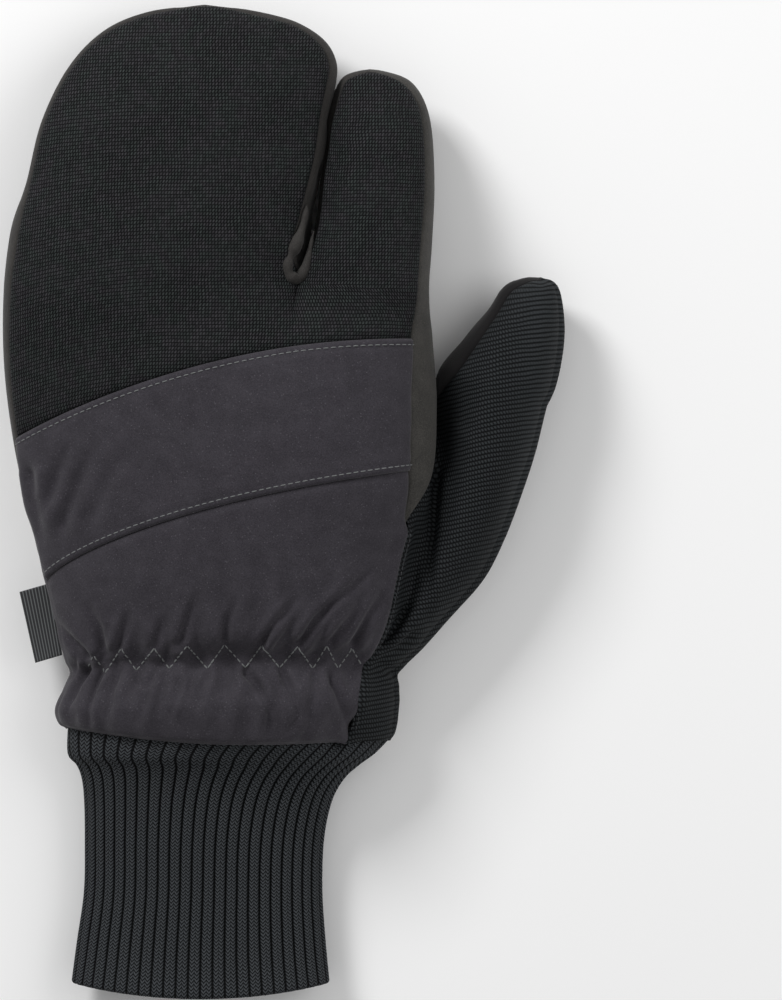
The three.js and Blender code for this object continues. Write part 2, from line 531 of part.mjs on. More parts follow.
// Palm
const palmMitten = [0, PALM_MITTEN_STRIPS, PALM_MITTEN_STRIPS];
const palmIndex = [0, PALM_INDEX_STRIPS, PALM_INDEX_STRIPS];
const palmThumb = [0, PALM_THUMB_STRIPS, PALM_THUMB_STRIPS];
const palmMittenSide = (r, u) => palmPoint(r, u * FORK_SHARE);
const palmIndexSide = (r, u) => palmPoint(r, mix(FORK_SHARE, 1, u));
for (const [panel, rows] of [
  ["palm_leather", [0, FLEX_ROW]],
  ["flex_strip", [FLEX_ROW, KNUCKLE_ROW]],
  ["finger_leather", [KNUCKLE_ROW, PATCH_ROW]],
]) {
  skin.sheet(panel, palmMittenSide, rows, palmMitten, -1);
  skin.sheet(panel, palmIndexSide, rows, palmIndex, -1);
}
skin.sheet("palm_leather", palmThumbPoint, [0, THUMB_ROOT_SECTION], palmThumb, -1);
skin.sheet("mitten_patch", palmMittenSide, [PATCH_ROW, FORK_ROW], palmMitten, -1);
skin.sheet("mitten_patch", palmMittenPoint, [0, mittenTip], palmMitten, -1);
skin.sheet("index_patch", palmIndexSide, [PATCH_ROW, FORK_ROW], palmIndex, -1);
skin.sheet("index_patch", palmIndexPoint, [0, indexTip], palmIndex, -1);
skin.sheet("thumb_patch", palmThumbTipPoint, [THUMB_ROOT_SECTION, thumbTip], palmThumb, -1);

// A panel of the skin as a closed solid: its edges drawn back from the seams, and a wall inside it
const skinNormals = skin.normals();
const skinTriangles = skin.patches.flatMap((patch) => skin.triangles(patch));
const hem = openEdges(skinTriangles); // the skin's one opening, where the cuff is sewn on
for (const { a } of hem) skinNormals[a].setY(0).normalize();
skinNormals[skin.corner(thumbRoot)].set(0, 1, -0.4).normalize(); // the web is thin there, and the hand behind it

// How much of its wall each corner can have: less where four panels meet, and less in tight folds,
// where full walls would run into each other.
const meeting = skin.points.map(() => new Set());
for (const { panel, corners } of skin.patches) for (const v of corners) meeting[v].add(panel);
const wallShares = meeting.map((panels) => (panels.size > 3 ? 0.5 : 1));
for (let round = 0; round < 40; round++)
  for (const t of skinTriangles) {
    const facing = (points) =>
      new THREE.Vector3().crossVectors(points[1].clone().sub(points[0]), points[2].clone().sub(points[0]));
    const outside = facing(t.map((v) => skin.points[v]));
    const inside = facing(
      t.map((v) => skin.points[v].clone().addScaledVector(skinNormals[v], -PADDED_WALL * wallShares[v])),
    );
    if (inside.dot(outside) < FOLD_SHARE * outside.lengthSq()) for (const v of t) wallShares[v] *= 0.93;
  }

function openEdges(triangles) {
  const used = new Map();
  for (const t of triangles)
    t.forEach((v, k) => used.set(v + ">" + t[(k + 1) % 3], { a: v, b: t[(k + 1) % 3], c: t[(k + 2) % 3] }));
  return [...used.values()].filter(({ a, b }) => !used.has(b + ">" + a));
}

function panelGeometry(name) {
  const triangles = skin.patches.filter((p) => p.panel === name).flatMap((p) => skin.triangles(p));
  const rim = openEdges(triangles);
  const draw = new Map();
  for (const { a, b, c } of rim) {
    const along = skin.points[b].clone().sub(skin.points[a]).normalize();
    const inward = skin.points[c].clone().sub(skin.points[a]);
    inward.addScaledVector(along, -inward.dot(along)).normalize();
    for (const v of [a, b]) draw.set(v, [...(draw.get(v) ?? []), inward]);
  }
  const ids = new Map();
  const outer = [];
  const inner = [];
  for (const t of triangles)
    for (const v of t)
      if (!ids.has(v)) {
        ids.set(v, outer.length);
        const p = skin.points[v].clone();
        const ways = draw.get(v) ?? [];
        const way = ways.reduce((sum, w) => sum.add(w), new THREE.Vector3());
        const gap = meeting[v].size > 3 ? 2 * SEAM_GAP : SEAM_GAP;
        if (way.length() > 0.1) p.addScaledVector(way.normalize(), gap / 2 / Math.max(0.5, way.dot(ways[0])));
        outer.push(p);
        inner.push(p.clone().addScaledVector(skinNormals[v], -PADDED_WALL * wallShares[v]));
      }
  const positions = [...outer, ...inner].flatMap((p) => p.toArray());
  const n = outer.length;
  const faces = [];
  for (const t of triangles) {
    const [a, b, c] = t.map((v) => ids.get(v));
    faces.push(a, b, c, a + n, c + n, b + n);
  }
  for (const edge of rim) {
    const a = ids.get(edge.a);
    const b = ids.get(edge.b);
    // Both panels at a seam split the side that they turn to each other along the same diagonal.
    if (edge.a < edge.b) faces.push(a, b + n, b, a, a + n, b + n);
    else faces.push(a, a + n, b, b, a + n, b + n);
  }
  const geometry = new THREE.BufferGeometry();
  geometry.setAttribute("position", new THREE.Float32BufferAttribute(positions, 3));
  geometry.setIndex(faces);
  geometry.computeVertexNormals();
  return geometry;
}

function cloth(name, geometry, color, roughness = 0.9) {
  const mesh = new THREE.Mesh(geometry, new THREE.MeshStandardMaterial({ color, roughness, metalness: 0 }));
  mesh.name = name;
  return mesh;
}

// The cuff: rings of points, a crest and a trough for each rib, from the hem down to the mouth. y is
// a share of the cuff's length, left and right are shares of half its waist, up of its thickness.
const CUFF_MIDDLE = -5; // the cuff hangs a little towards the little finger's side
const CUFF_ROWS = [
  { y: 0.06, left: -1.133, right: 1.43, up: 1.4, bow: 0.01, rib: 0.4 },
  { y: 0.105, left: -1.059, right: 1.3, up: 1.26, bow: 0.01, rib: 0.8 },
  { y: 0.16, left: -1.016, right: 1.173, up: 1.15, bow: 0.01, rib: 1 },
  { y: 0.25, left: -0.997, right: 1.07, up: 1.06, bow: 0.01, rib: 1 },
  { y: 0.4, left: -0.992, right: 1.005, up: 1, bow: 0.01, rib: 1 },
  { y: 0.6, left: -1, right: 0.992, up: 0.97, bow: 0.015, rib: 1 },
  { y: 0.8, left: -1.06, right: 1.02, up: 1, bow: 0.03, rib: 1 },
  { y: 0.945, left: -1.1, right: 1.05, up: 1.08, bow: 0.055, rib: 1 }, // mouth
];
const CUFF_SIDE_UP = 0.42; // how high the cuff's sides are, of its thickness
const CUFF_FLAT = 0.6; // the share of the cuff's width that lies flat
const HALF_RING = RIB_COUNT; // points over the cuff, and as many under it

// Evenly spaced points along a line of points, its last one left out.
function spread(line, count) {
  const lengths = line.map((p, i) => (i ? p.distanceTo(line[i - 1]) : 0));
  const total = lengths.reduce((sum, l) => sum + l, 0);
  const points = [];
  let i = 1;
  let passed = 0;
  for (let k = 0; k < count; k++) {
    const goal = (total * k) / count;
    while (passed + lengths[i] < goal) passed += lengths[i++];
    points.push(line[i - 1].clone().lerp(line[i], (goal - passed) / lengths[i]));
  }
  return points;
}

function hemRing() {
  const next = new Map(hem.map(({ a, b }) => [a, b]));
  const loop = [];
  let v = hem[0].a;
  do {
    const p = skin.points[v].clone().addScaledVector(skinNormals[v], -(PADDED_WALL - CUFF_WALL) / 2);
    p.y -= SEAM_GAP * 1.5;
    loop.push(p);
    v = next.get(v);
  } while (v !== hem[0].a);
  const extreme = (way) => loop.reduce((best, p, i) => (way * p.x > way * loop[best].x ? i : best), 0);
  const left = extreme(-1);
  const turned = [...loop.slice(left), ...loop.slice(0, left), loop[left]];
  const right = turned.indexOf(loop[extreme(1)]);
  return [...spread(turned.slice(0, right + 1), HALF_RING), ...spread(turned.slice(right), HALF_RING)];
}

function cuffRing({ y, left, right, up, bow }) {
  const height = up * CUFF_THICKNESS;
  const side = CUFF_SIDE_UP * height;
  const point = (u, z) =>
    new THREE.Vector3(
      CUFF_MIDDLE + (mix(left, right, u) * CUFF_WAIST) / 2,
      -CUFF_LENGTH * (y + bow * 4 * u * (1 - u)),
      z,
    );
  const over = [];
  const under = [];
  const steps = 80;
  for (let i = 0; i <= steps; i++) {
    const u = (1 - Math.cos((Math.PI * i) / steps)) / 2;
    const end = Math.max(0, (Math.abs(2 * u - 1) - CUFF_FLAT) / (1 - CUFF_FLAT));
    over.push(point(u, side + (height - side) * dome(u)));
    under.push(point(1 - u, side * (1 - Math.sqrt(Math.max(0, 1 - end * end)))));
  }
  return [...spread(over, HALF_RING), ...spread(under, HALF_RING)];
}

function cuffGeometry() {
  const top = hemRing();
  const rings = [{ points: top, rib: 0 }, ...CUFF_ROWS.map((row) => ({ points: cuffRing(row), rib: row.rib }))];
  const count = 2 * HALF_RING;
  const outer = [];
  const inner = [];
  for (const { points, rib } of rings)
    points.forEach((p, j) => {
      const along = points[(j + 1) % count].clone().sub(points[(j + count - 1) % count]).setY(0).normalize();
      const inward = new THREE.Vector3(along.z, 0, -along.x);
      outer.push(p.clone().addScaledVector(inward, j % 2 ? rib * RIB_DEPTH : 0));
      inner.push(p.clone().addScaledVector(inward, CUFF_WALL));
    });
  const n = outer.length;
  const faces = [];
  const quad = (a, b, c, d) => faces.push(a, b, c, a, c, d);
  for (let k = 0; k < rings.length; k++)
    for (let j = 0; j < count; j++) {
      const a = k * count + j;
      const b = k * count + ((j + 1) % count);
      if (k + 1 < rings.length) {
        quad(a, a + count, b + count, b);
        quad(a + n, b + n, b + count + n, a + count + n);
      }
      if (k === 0) quad(a, b, b + n, a + n);
      if (k + 1 === rings.length) quad(a, a + n, b + n, b);
    }
  const geometry = new THREE.BufferGeometry();
  geometry.setAttribute("position", new THREE.Float32BufferAttribute([...outer, ...inner].flatMap((p) => p.toArray()), 3));
  geometry.setIndex(faces);
  geometry.computeVertexNormals();
  return geometry;
}

// The label: a folded tape with its ends sewn into the side seam over the wrist
const LABEL_FROM = 2.35; // sections of the little finger's edge that the label lies along
const LABEL_TO = 3.85;

function labelGeometry() {
  const low = littleFingerEdge.rim(LABEL_FROM);
  const along = littleFingerEdge.rim(LABEL_TO).sub(low).normalize();
  const fold = LABEL_THICKNESS / 2;
  const seam = 1.6 * SEAM_GAP;
  const shape = new THREE.Shape();
  shape.moveTo(seam, -fold);
  shape.lineTo(LABEL_WIDTH - fold, -fold);
  shape.absarc(LABEL_WIDTH - fold, 0, fold, -Math.PI / 2, Math.PI / 2, false);
  shape.lineTo(seam, fold);
  shape.closePath();
  const geometry = new THREE.ExtrudeGeometry(shape, { depth: LABEL_LENGTH, bevelEnabled: false, curveSegments: 6 });
  const out = new THREE.Vector3(0, 0, 1).cross(along).normalize();
  const up = along.clone().cross(out);
  geometry.applyMatrix4(new THREE.Matrix4().makeBasis(out, up, along).setPosition(low));
  return geometry;
}

const mitt = new THREE.Group();
const PANELS = {
  hand_back: COLOURS.knit,
  knuckle_band: COLOURS.softshell,
  gauntlet: COLOURS.softshell,
  thumb_back: COLOURS.knit,
  outer_side_wall: COLOURS.gusset,
  finger_gusset: COLOURS.gusset,
  index_side_wall: COLOURS.gusset,
  palm_leather: COLOURS.leather,
  flex_strip: COLOURS.nubuck,
  finger_leather: COLOURS.leather,
  mitten_patch: COLOURS.fleece,
  index_patch: COLOURS.nubuck,
  thumb_patch: COLOURS.nubuck,
};
for (const [name, colour] of Object.entries(PANELS)) mitt.add(cloth(name, panelGeometry(name), colour));
mitt.add(cloth("knit_cuff", cuffGeometry(), COLOURS.rib));
mitt.add(cloth("side_label", labelGeometry(), COLOURS.label));

// The middle of the mitt's outline is over the origin, and the mitt lies on the floor.
const bounds = new THREE.Box3().setFromObject(mitt);
const middle = bounds.getCenter(new THREE.Vector3());
mitt.position.set(-middle.x, -middle.y, -bounds.min.z);

export default mitt;
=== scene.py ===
# %% [markdown]
# # A padded three-finger winter mitt
# The object is a left-hand mitt for hard cold: the thumb and the index finger have their own parts,
# and the other three fingers share one. This lesson dresses its measured solids with fabric. The
# solids come in as a fixed frame, in metres, so every piece is made where it belongs from the start.

import math
import time

import bpy
import numpy as np
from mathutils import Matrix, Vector, noise
from mathutils.bvhtree import BVHTree
from mathutils.kdtree import KDTree


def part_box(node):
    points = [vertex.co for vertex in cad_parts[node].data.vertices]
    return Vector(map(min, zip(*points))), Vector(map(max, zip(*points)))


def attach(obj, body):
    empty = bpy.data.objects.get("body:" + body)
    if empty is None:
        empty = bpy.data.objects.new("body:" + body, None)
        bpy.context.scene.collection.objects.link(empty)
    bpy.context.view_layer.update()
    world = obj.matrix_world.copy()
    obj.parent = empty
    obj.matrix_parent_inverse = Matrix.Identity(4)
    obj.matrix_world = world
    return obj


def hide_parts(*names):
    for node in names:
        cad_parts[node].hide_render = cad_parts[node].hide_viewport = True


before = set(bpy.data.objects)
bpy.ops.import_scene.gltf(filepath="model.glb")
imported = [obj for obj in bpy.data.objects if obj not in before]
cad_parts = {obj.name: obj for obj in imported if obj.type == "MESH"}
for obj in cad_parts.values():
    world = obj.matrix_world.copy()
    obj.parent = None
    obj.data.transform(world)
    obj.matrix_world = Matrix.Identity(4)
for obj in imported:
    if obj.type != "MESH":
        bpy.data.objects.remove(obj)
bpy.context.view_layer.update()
MM = 0.001

# %% [markdown]
# ## Sizes and curves
# A mitt is drafted from a few sizes and a paper pattern with curved edges. Here the pattern is a set
# of short tables, one line for each section of an edge, and a smooth curve runs through each column.
# The tables are the ones that the solids were drawn from, so the fabric lands on the solids.

# %% The driving sizes, in millimetres
PALM_LENGTH = 142.0
MITTEN_LENGTH = 87.0
INDEX_LENGTH = 67.0
THUMB_LENGTH = 40.0
HAND_WIDTH = 136.0
THUMB_SPREAD = 40.0
HAND_THICKNESS = 45.0
THUMB_THICKNESS = 30.0
GATHER_COUNT = 10
GATHER_DEPTH = 1.7


# %% A smooth curve through evenly numbered values
def mix(a, b, t):
    return a + (b - a) * t


def neighbours(values, s):
    values = np.asarray(values, float)
    last = len(values) - 1
    i = np.clip(np.floor(s).astype(int), 0, last - 1)
    return [values[np.clip(i + k, 0, last)] for k in (-1, 0, 1, 2)], s - i


def along(values, s):
    (a, b, c, d), t = neighbours(values, np.asarray(s, float))
    return 0.5 * (2 * b + (c - a) * t + (2 * a - 5 * b + 4 * c - d) * t**2 + (3 * b - a - 3 * c + d) * t**3)


def along_level(values, s):
    """The same curve, which never passes the two values it runs between"""
    (_, b, c, _), _ = neighbours(values, np.asarray(s, float))
    return np.clip(along(values, s), np.minimum(b, c), np.maximum(b, c))


# %% [markdown]
# ## The edges of the mitt
# Between the back and the palm runs a side wall, a narrow strip of softshell or leather. An edge
# holds the outline of the mitt there, how far inside it the two seams of the strip lie, and how high.


# %% An edge with its two seams
class Edge:
    def __init__(self, rows, side, root, finger, width, thickness, middle=0.0, joined_to=0):
        columns = np.array(rows, float).T
        self.x, self.y, self.back_in, self.back_up, self.palm_in, self.palm_up = columns
        self.side, self.root, self.finger = side, root, finger
        self.width, self.thickness, self.middle = width, thickness, middle
        self.joined_to = joined_to  # up to this section the two seams are one
        self.last = len(rows) - 1

    def outline(self, s):
        y = along(self.y, s)
        y = np.where(y <= 1, y * self.root, self.root + (y - 1) * self.finger)
        return np.stack([self.middle + along(self.x, s) * self.width, y], -1)

    def outward(self, s):
        way = self.outline(np.minimum(self.last, s + 0.05)) - self.outline(np.maximum(0, s - 0.05))
        way /= np.linalg.norm(way, axis=-1, keepdims=True)
        out = np.stack([way[..., 1], -way[..., 0]], -1) * self.side
        tip = np.clip(s - self.last + 1, 0, 1)[..., None] ** 2
        out = mix(out, np.array([0.0, 1.0]), tip)
        return out / np.linalg.norm(out, axis=-1, keepdims=True)

    def at(self, s, inset, height):
        flat = self.outline(s) - self.outward(s) * (inset * self.thickness)[..., None]
        return np.concatenate([flat, (height * self.thickness)[..., None]], -1)

    def back(self, s):
        return self.at(s, along_level(self.back_in, s), along(self.back_up, s))

    def palm(self, s):
        height = np.where(s < self.joined_to, along(self.back_up, s), along(self.palm_up, s))
        return self.at(s, along_level(self.palm_in, s), height)

    def rim(self, s):
        return self.at(s, 0 * s, mix(self.palm(s)[..., 2], self.back(s)[..., 2], 0.55) / self.thickness)

    def wall(self, s_back, s_palm, t):
        s = mix(s_back, s_palm, t)
        w = t[..., None]
        high, low = self.back(s) * (1 - w) * (1 - 2 * w), self.palm(s) * w * (2 * w - 1)
        return high + self.rim(s) * 4 * w * (1 - w) + low


# %% The hand's four edges: x, y, back seam in and up, palm seam in and up
LITTLE_FINGER_EDGE = [
    (-0.359, 0.018, 0.01, 0.34, 0.1, 0.06),  # cuff seam
    (-0.375, 0.066, 0.01, 0.38, 0.1, 0.07),
    (-0.345, 0.145, 0.01, 0.34, 0.08, 0.08),  # elastic
    (-0.372, 0.249, 0.01, 0.4, 0.09, 0.09),
    (-0.4, 0.348, 0.01, 0.43, 0.1, 0.1),
    (-0.439, 0.496, 0.01, 0.46, 0.1, 0.11),
    (-0.476, 0.659, 0.03, 0.5, 0.1, 0.12),  # band
    (-0.497, 0.815, 0.04, 0.52, 0.1, 0.12),
    (-0.497, 0.98, 0.045, 0.53, 0.1, 0.12),  # fork
    (-0.48, 1.201, 0.055, 0.52, 0.1, 0.12),
    (-0.444, 1.363, 0.02, 0.48, 0.1, 0.12),
    (-0.407, 1.586, 0.01, 0.44, 0.11, 0.12),
    (-0.345, 1.781, 0.01, 0.4, 0.12, 0.12),
    (-0.264, 1.91, 0.01, 0.36, 0.13, 0.12),
    (-0.161, 1.978, 0.015, 0.34, 0.14, 0.12),
    (-0.034, 2, 0.015, 0.33, 0.14, 0.12),  # tip
]
MITTEN_SLIT_EDGE = [
    (0.184, 1, 0, 0.66, 0, 0.14),  # fork
    (0.195, 1.112, 0.11, 0.72, 0.035, 0.13),
    (0.209, 1.219, 0.1, 0.7, 0.05, 0.13),
    (0.223, 1.342, 0.083, 0.66, 0.07, 0.12),
    (0.241, 1.471, 0.075, 0.6, 0.09, 0.12),
    (0.246, 1.59, 0.044, 0.54, 0.09, 0.12),
    (0.262, 1.701, 0.038, 0.49, 0.1, 0.12),
    (0.269, 1.788, 0.04, 0.44, 0.11, 0.12),
    (0.241, 1.871, 0.028, 0.4, 0.12, 0.12),
    (0.175, 1.935, 0.026, 0.37, 0.13, 0.12),
    (0.074, 1.978, 0.02, 0.34, 0.14, 0.12),
    (-0.034, 2, 0.015, 0.33, 0.14, 0.12),  # tip
]
INDEX_SLIT_EDGE = [
    (0.184, 1, 0, 0.66, 0, 0.14),  # fork
    (0.218, 1.144, 0.004, 0.68, 0.035, 0.135),
    (0.236, 1.284, 0.004, 0.64, 0.05, 0.14),
    (0.245, 1.442, 0.004, 0.6, 0.06, 0.14),
    (0.253, 1.609, 0.004, 0.54, 0.07, 0.14),
    (0.257, 1.763, 0.006, 0.48, 0.08, 0.14),
    (0.271, 1.888, 0.01, 0.43, 0.09, 0.14),
    (0.29, 1.967, 0.015, 0.4, 0.1, 0.14),
    (0.345, 2, 0.02, 0.38, 0.11, 0.14),  # tip
]
INDEX_EDGE = [
    (0.287, -0.009, 0, 0.52, 0, 0.52),  # cuff seam
    (0.315, 0.081, 0, 0.6, 0, 0.6),
    (0.331, 0.165, 0, 0.54, 0, 0.54),  # elastic
    (0.375, 0.258, 0, 0.64, 0, 0.64),
    (0.423, 0.452, 0, 0.7, 0, 0.7),
    (0.487, 0.575, 0.155, 0.78, 0.04, 0.5),
    (0.501, 0.731, 0.185, 0.8, 0.05, 0.22),  # thumb's root
    (0.492, 0.881, 0.147, 0.76, 0.09, 0.15),  # band
    (0.485, 0.98, 0.078, 0.7, 0.1, 0.14),  # fork
    (0.492, 1.191, 0.075, 0.64, 0.1, 0.14),
    (0.497, 1.447, 0.064, 0.59, 0.1, 0.14),
    (0.492, 1.693, 0.06, 0.52, 0.1, 0.14),
    (0.476, 1.842, 0.05, 0.46, 0.1, 0.14),
    (0.444, 1.944, 0.045, 0.42, 0.11, 0.14),
    (0.398, 1.988, 0.03, 0.39, 0.11, 0.14),
    (0.345, 2, 0.02, 0.38, 0.11, 0.14),  # tip
]
hand_sizes = {"root": PALM_LENGTH, "width": HAND_WIDTH, "thickness": HAND_THICKNESS}
little_edge = Edge(LITTLE_FINGER_EDGE, side=-1, finger=MITTEN_LENGTH, **hand_sizes)
mitten_slit = Edge(MITTEN_SLIT_EDGE, side=1, finger=MITTEN_LENGTH, **hand_sizes)
index_slit = Edge(INDEX_SLIT_EDGE, side=-1, finger=INDEX_LENGTH, **hand_sizes)
index_edge = Edge(INDEX_EDGE, side=1, finger=INDEX_LENGTH, joined_to=4, **hand_sizes)

# %% The thumb's two edges, which start at its root on the hand's side
ROOT = 6  # the section of the index edge, and the row, where the thumb leaves the hand
thumb_root = index_edge.palm(np.array(float(ROOT)))
ROOT_X = (thumb_root[0] - HAND_WIDTH / 2) / THUMB_SPREAD
ROOT_UP = thumb_root[2] / THUMB_THICKNESS
THUMB_INNER_EDGE = [
    (ROOT_X, 1, 0, ROOT_UP, 0, ROOT_UP),  # root
    (0.02, 1.287, 0.16, 0.7, 0.08, 0.24),
    (0.208, 1.519, 0.13, 0.7, 0.1, 0.22),
    (0.38, 1.729, 0.1, 0.65, 0.11, 0.2),
    (0.514, 1.891, 0.08, 0.58, 0.12, 0.2),
    (0.647, 1.961, 0.05, 0.54, 0.12, 0.2),
    (0.812, 2, 0.03, 0.5, 0.12, 0.2),  # tip
]
THUMB_OUTER_EDGE = [
    (-0.31, -0.009, 0.06, 0.5, 0.15, 0.1),  # cuff seam
    (-0.294, 0.105, 0.06, 0.54, 0.18, 0.1),
    (-0.271, 0.196, 0.06, 0.5, 0.19, 0.1),  # elastic
    (-0.004, 0.322, 0.06, 0.52, 0.2, 0.1),
    (0.333, 0.467, 0.06, 0.54, 0.24, 0.1),
    (0.514, 0.596, 0.06, 0.56, 0.25, 0.1),
    (0.663, 0.75, 0.06, 0.58, 0.24, 0.11),
    (0.812, 0.925, 0.06, 0.58, 0.22, 0.12),
    (0.929, 1.14, 0.06, 0.57, 0.19, 0.14),
    (0.992, 1.465, 0.06, 0.56, 0.16, 0.16),
    (0.992, 1.736, 0.05, 0.54, 0.14, 0.18),
    (0.937, 1.922, 0.04, 0.52, 0.13, 0.2),
    (0.812, 2, 0.03, 0.5, 0.12, 0.2),  # tip
]
thumb_sizes = {"root": thumb_root[1], "finger": THUMB_LENGTH, "middle": HAND_WIDTH / 2}
thumb_sizes |= {"width": THUMB_SPREAD, "thickness": THUMB_THICKNESS}
thumb_inner = Edge(THUMB_INNER_EDGE, side=-1, **thumb_sizes)
thumb_outer = Edge(THUMB_OUTER_EDGE, side=1, **thumb_sizes)
print("thumb's root at", thumb_root.round(1), "mm")

# %% [markdown]
# ## Rows across the back and the palm
# Wadding gives each part a soft, full section, highest in its middle. Rows run from edge to edge and
# say how high that is. Any row between two numbered ones is found on the same smooth curves.

# %% The rows
BACK_ROWS = {
    "little": [0, 1, 2, 2.5, 3.2, 4, 5.1, 6, 7, 8],
    "index": [0, 1, 2, 3, 4, 5, 6, 7, 7.5, 8],
    "bow": [-0.02, 0, 0.013, 0.013, 0.03, 0.05, 0.057, 0.059, 0.044, 0.028],
    "lean": [1, 1, 1, 1, 0.85, 0.7, 0.8, 0.95, 1, 1],
    "crown": [0.72, 0.82, 0.72, 0.85, 0.94, 0.99, 1, 0.98, 0.94, 0.9],
    "fork": [0, 0, 0, 0, 0, 0, 0, 0.06, 0.3, 1],
    "gather": [0.5, 1, 0.8, 1, 0.35, 0, 0, 0, 0, 0],
}
MITTEN_ROWS = {
    "outer": [8, 8.6, 9.2, 9.8, 10.4, 11, 11.6, 12.2, 13, 13.7, 14.4, 15],
    "slit": [0, 1, 2, 3, 4, 5, 6, 7, 8, 9, 10, 11],
    "crown": [0.9, 0.89, 0.87, 0.84, 0.8, 0.75, 0.69, 0.62, 0.53, 0.45, 0.38, 0.33],
    "rise": [0, 0, 0, 0, 0, 0, 0, 0, 0.01, 0.018, 0.018, 0],
}
INDEX_ROWS = {
    "outer": [8, 9, 9.7, 10.4, 11, 11.8, 12.6, 13.6, 15],
    "slit": [0, 1, 2, 3, 4, 5, 6, 7, 8],
    "crown": [0.9, 0.86, 0.83, 0.79, 0.73, 0.64, 0.54, 0.45, 0.38],
    "rise": [0, 0, 0, 0, 0, 0, 0, 0.012, 0],
}
THUMB_ROWS = {
    "crown": [0.76, 0.87, 0.78, 0.84, 0.92, 0.97, 1, 1, 0.95, 0.87, 0.76, 0.63, 0.5],
    "dip": [0.78, 0.9, 0.81, 0.8, 0.74, 0.68, ROOT_UP, 0.7, 0.7, 0.65, 0.58, 0.54, 0.5],
    "dip_at": [0, 0, 0, 0.35, 0.26, 0.1, 0, 0, 0, 0, 0, 0, 0],
    "soft": [0, 0, 0, 0.5, 1, 1, 1, 0.5, 0.1, 0, 0, 0, 0],
}
PALM_ROWS = {
    "little": [0, 1, 2, 3.2, 4.25, 5.13, 6.15, 7.33, 7.8, 8.07],
    "web": [0, 0, 0, 0, 0.01, 0.06, ROOT_UP * THUMB_THICKNESS / HAND_THICKNESS, 0, 0, 0],
    "fork": [0, 0, 0, 0, 0, 0, 0, 0, 0.35, 1],
}
PALM_FLAT = 0.45
FORK_SHARE = 0.7
BAND_LOW, BAND_HIGH, FORK = 5, 7, 9
FLEX, KNUCKLE, PATCH = 6, 7, 8


def row(table, name, r):
    return along(table[name], r)


# %% Sections with wadding in them
def dome(u):
    return (1 - np.abs(2 * u - 1) ** 2.5) ** 0.62


def curl(u):
    return np.maximum(0, (u - 0.5 - PALM_FLAT / 2) / (0.5 - PALM_FLAT / 2)) ** 2


def arch(a, b, u, crown, bow=0.0, lean=1.0):
    p = mix(a, b, u[..., None])
    w = u**lean
    p[..., 1] += bow * 4 * w * (1 - w)
    p[..., 2] += (crown - mix(a[..., 2], b[..., 2], 0.5)) * dome(u)
    return p


# %% Points of the back, the finger parts and the thumb
def gathers(r, u):
    ends = np.sin(np.pi * np.clip(u, 0, 1)) ** 0.4
    amount = np.maximum(0, row(BACK_ROWS, "gather", r))
    return 0.45 * GATHER_DEPTH * amount * ends * np.cos(2 * np.pi * (GATHER_COUNT * u + 0.04 * r * r))


def back_point(r, u):
    a = little_edge.back(row(BACK_ROWS, "little", r))
    b = index_edge.back(row(BACK_ROWS, "index", r))
    bow = row(BACK_ROWS, "bow", r) * PALM_LENGTH
    crown = row(BACK_ROWS, "crown", r) * HAND_THICKNESS
    lean = row(BACK_ROWS, "lean", r)
    whole = arch(a, b, u, crown, bow, lean)
    parted = np.clip(row(BACK_ROWS, "fork", r), 0, 1)[..., None]
    fork = mitten_slit.back(0 * r)
    middle = arch(a, b, 0 * u + FORK_SHARE, crown, bow, lean)
    valley = mix(middle, fork, parted**2)
    valley[..., 2] = fork[..., 2]
    left = arch(a, valley, np.clip(u / FORK_SHARE, 0, 1), crown)
    right = arch(valley, b, np.clip((u - FORK_SHARE) / (1 - FORK_SHARE), 0, 1), crown)
    whole = mix(whole, np.where((u <= FORK_SHARE)[..., None], left, right), parted)
    whole[..., 2] += gathers(r, u)
    return whole


def mitten_point(r, u):
    a = little_edge.back(row(MITTEN_ROWS, "outer", r))
    b = mitten_slit.back(row(MITTEN_ROWS, "slit", r))
    crown = row(MITTEN_ROWS, "crown", r) * HAND_THICKNESS
    return arch(a, b, u, crown, row(MITTEN_ROWS, "rise", r) * MITTEN_LENGTH)


def index_point(r, u):
    a = index_slit.back(row(INDEX_ROWS, "slit", r))
    b = index_edge.back(row(INDEX_ROWS, "outer", r))
    crown = row(INDEX_ROWS, "crown", r) * HAND_THICKNESS
    return arch(a, b, u, crown, row(INDEX_ROWS, "rise", r) * INDEX_LENGTH)


def thumb_point(r, u):
    on_hand = index_edge.palm(np.minimum(r, ROOT))
    a = np.where((r <= ROOT)[..., None], on_hand, thumb_inner.back(np.maximum(r - ROOT, 0)))
    b = thumb_outer.back(r)
    dip_at = np.maximum(0, row(THUMB_ROWS, "dip_at", r))
    dip = row(THUMB_ROWS, "dip", r) * THUMB_THICKNESS
    crown = row(THUMB_ROWS, "crown", r) * THUMB_THICKNESS
    soft = row(THUMB_ROWS, "soft", r)
    falling = mix(a[..., 2], dip, (1 - np.cos(np.pi * u / np.maximum(dip_at, 1e-6))) / 2)
    w = np.clip((u - dip_at) / (1 - dip_at), 0, 1)
    low = np.where(dip_at > 1e-6, dip, a[..., 2])
    rise = np.where(w < 0.5, mix(dome(w), (1 - np.cos(2 * np.pi * w)) / 2, soft), dome(w))
    rising = mix(low, b[..., 2], w) + np.maximum(0, crown - mix(low, b[..., 2], 0.5)) * rise
    p = mix(a, b, u[..., None])
    p[..., 2] = np.where(u < dip_at, falling, rising)
    return p


# %% Points of the palm
def web_point(r):
    near_root = np.clip(r - ROOT + 1, 0, 1)
    inset = along_level(index_edge.palm_in, 0 * r + ROOT) * near_root
    return index_edge.at(r, inset, row(PALM_ROWS, "web", r))


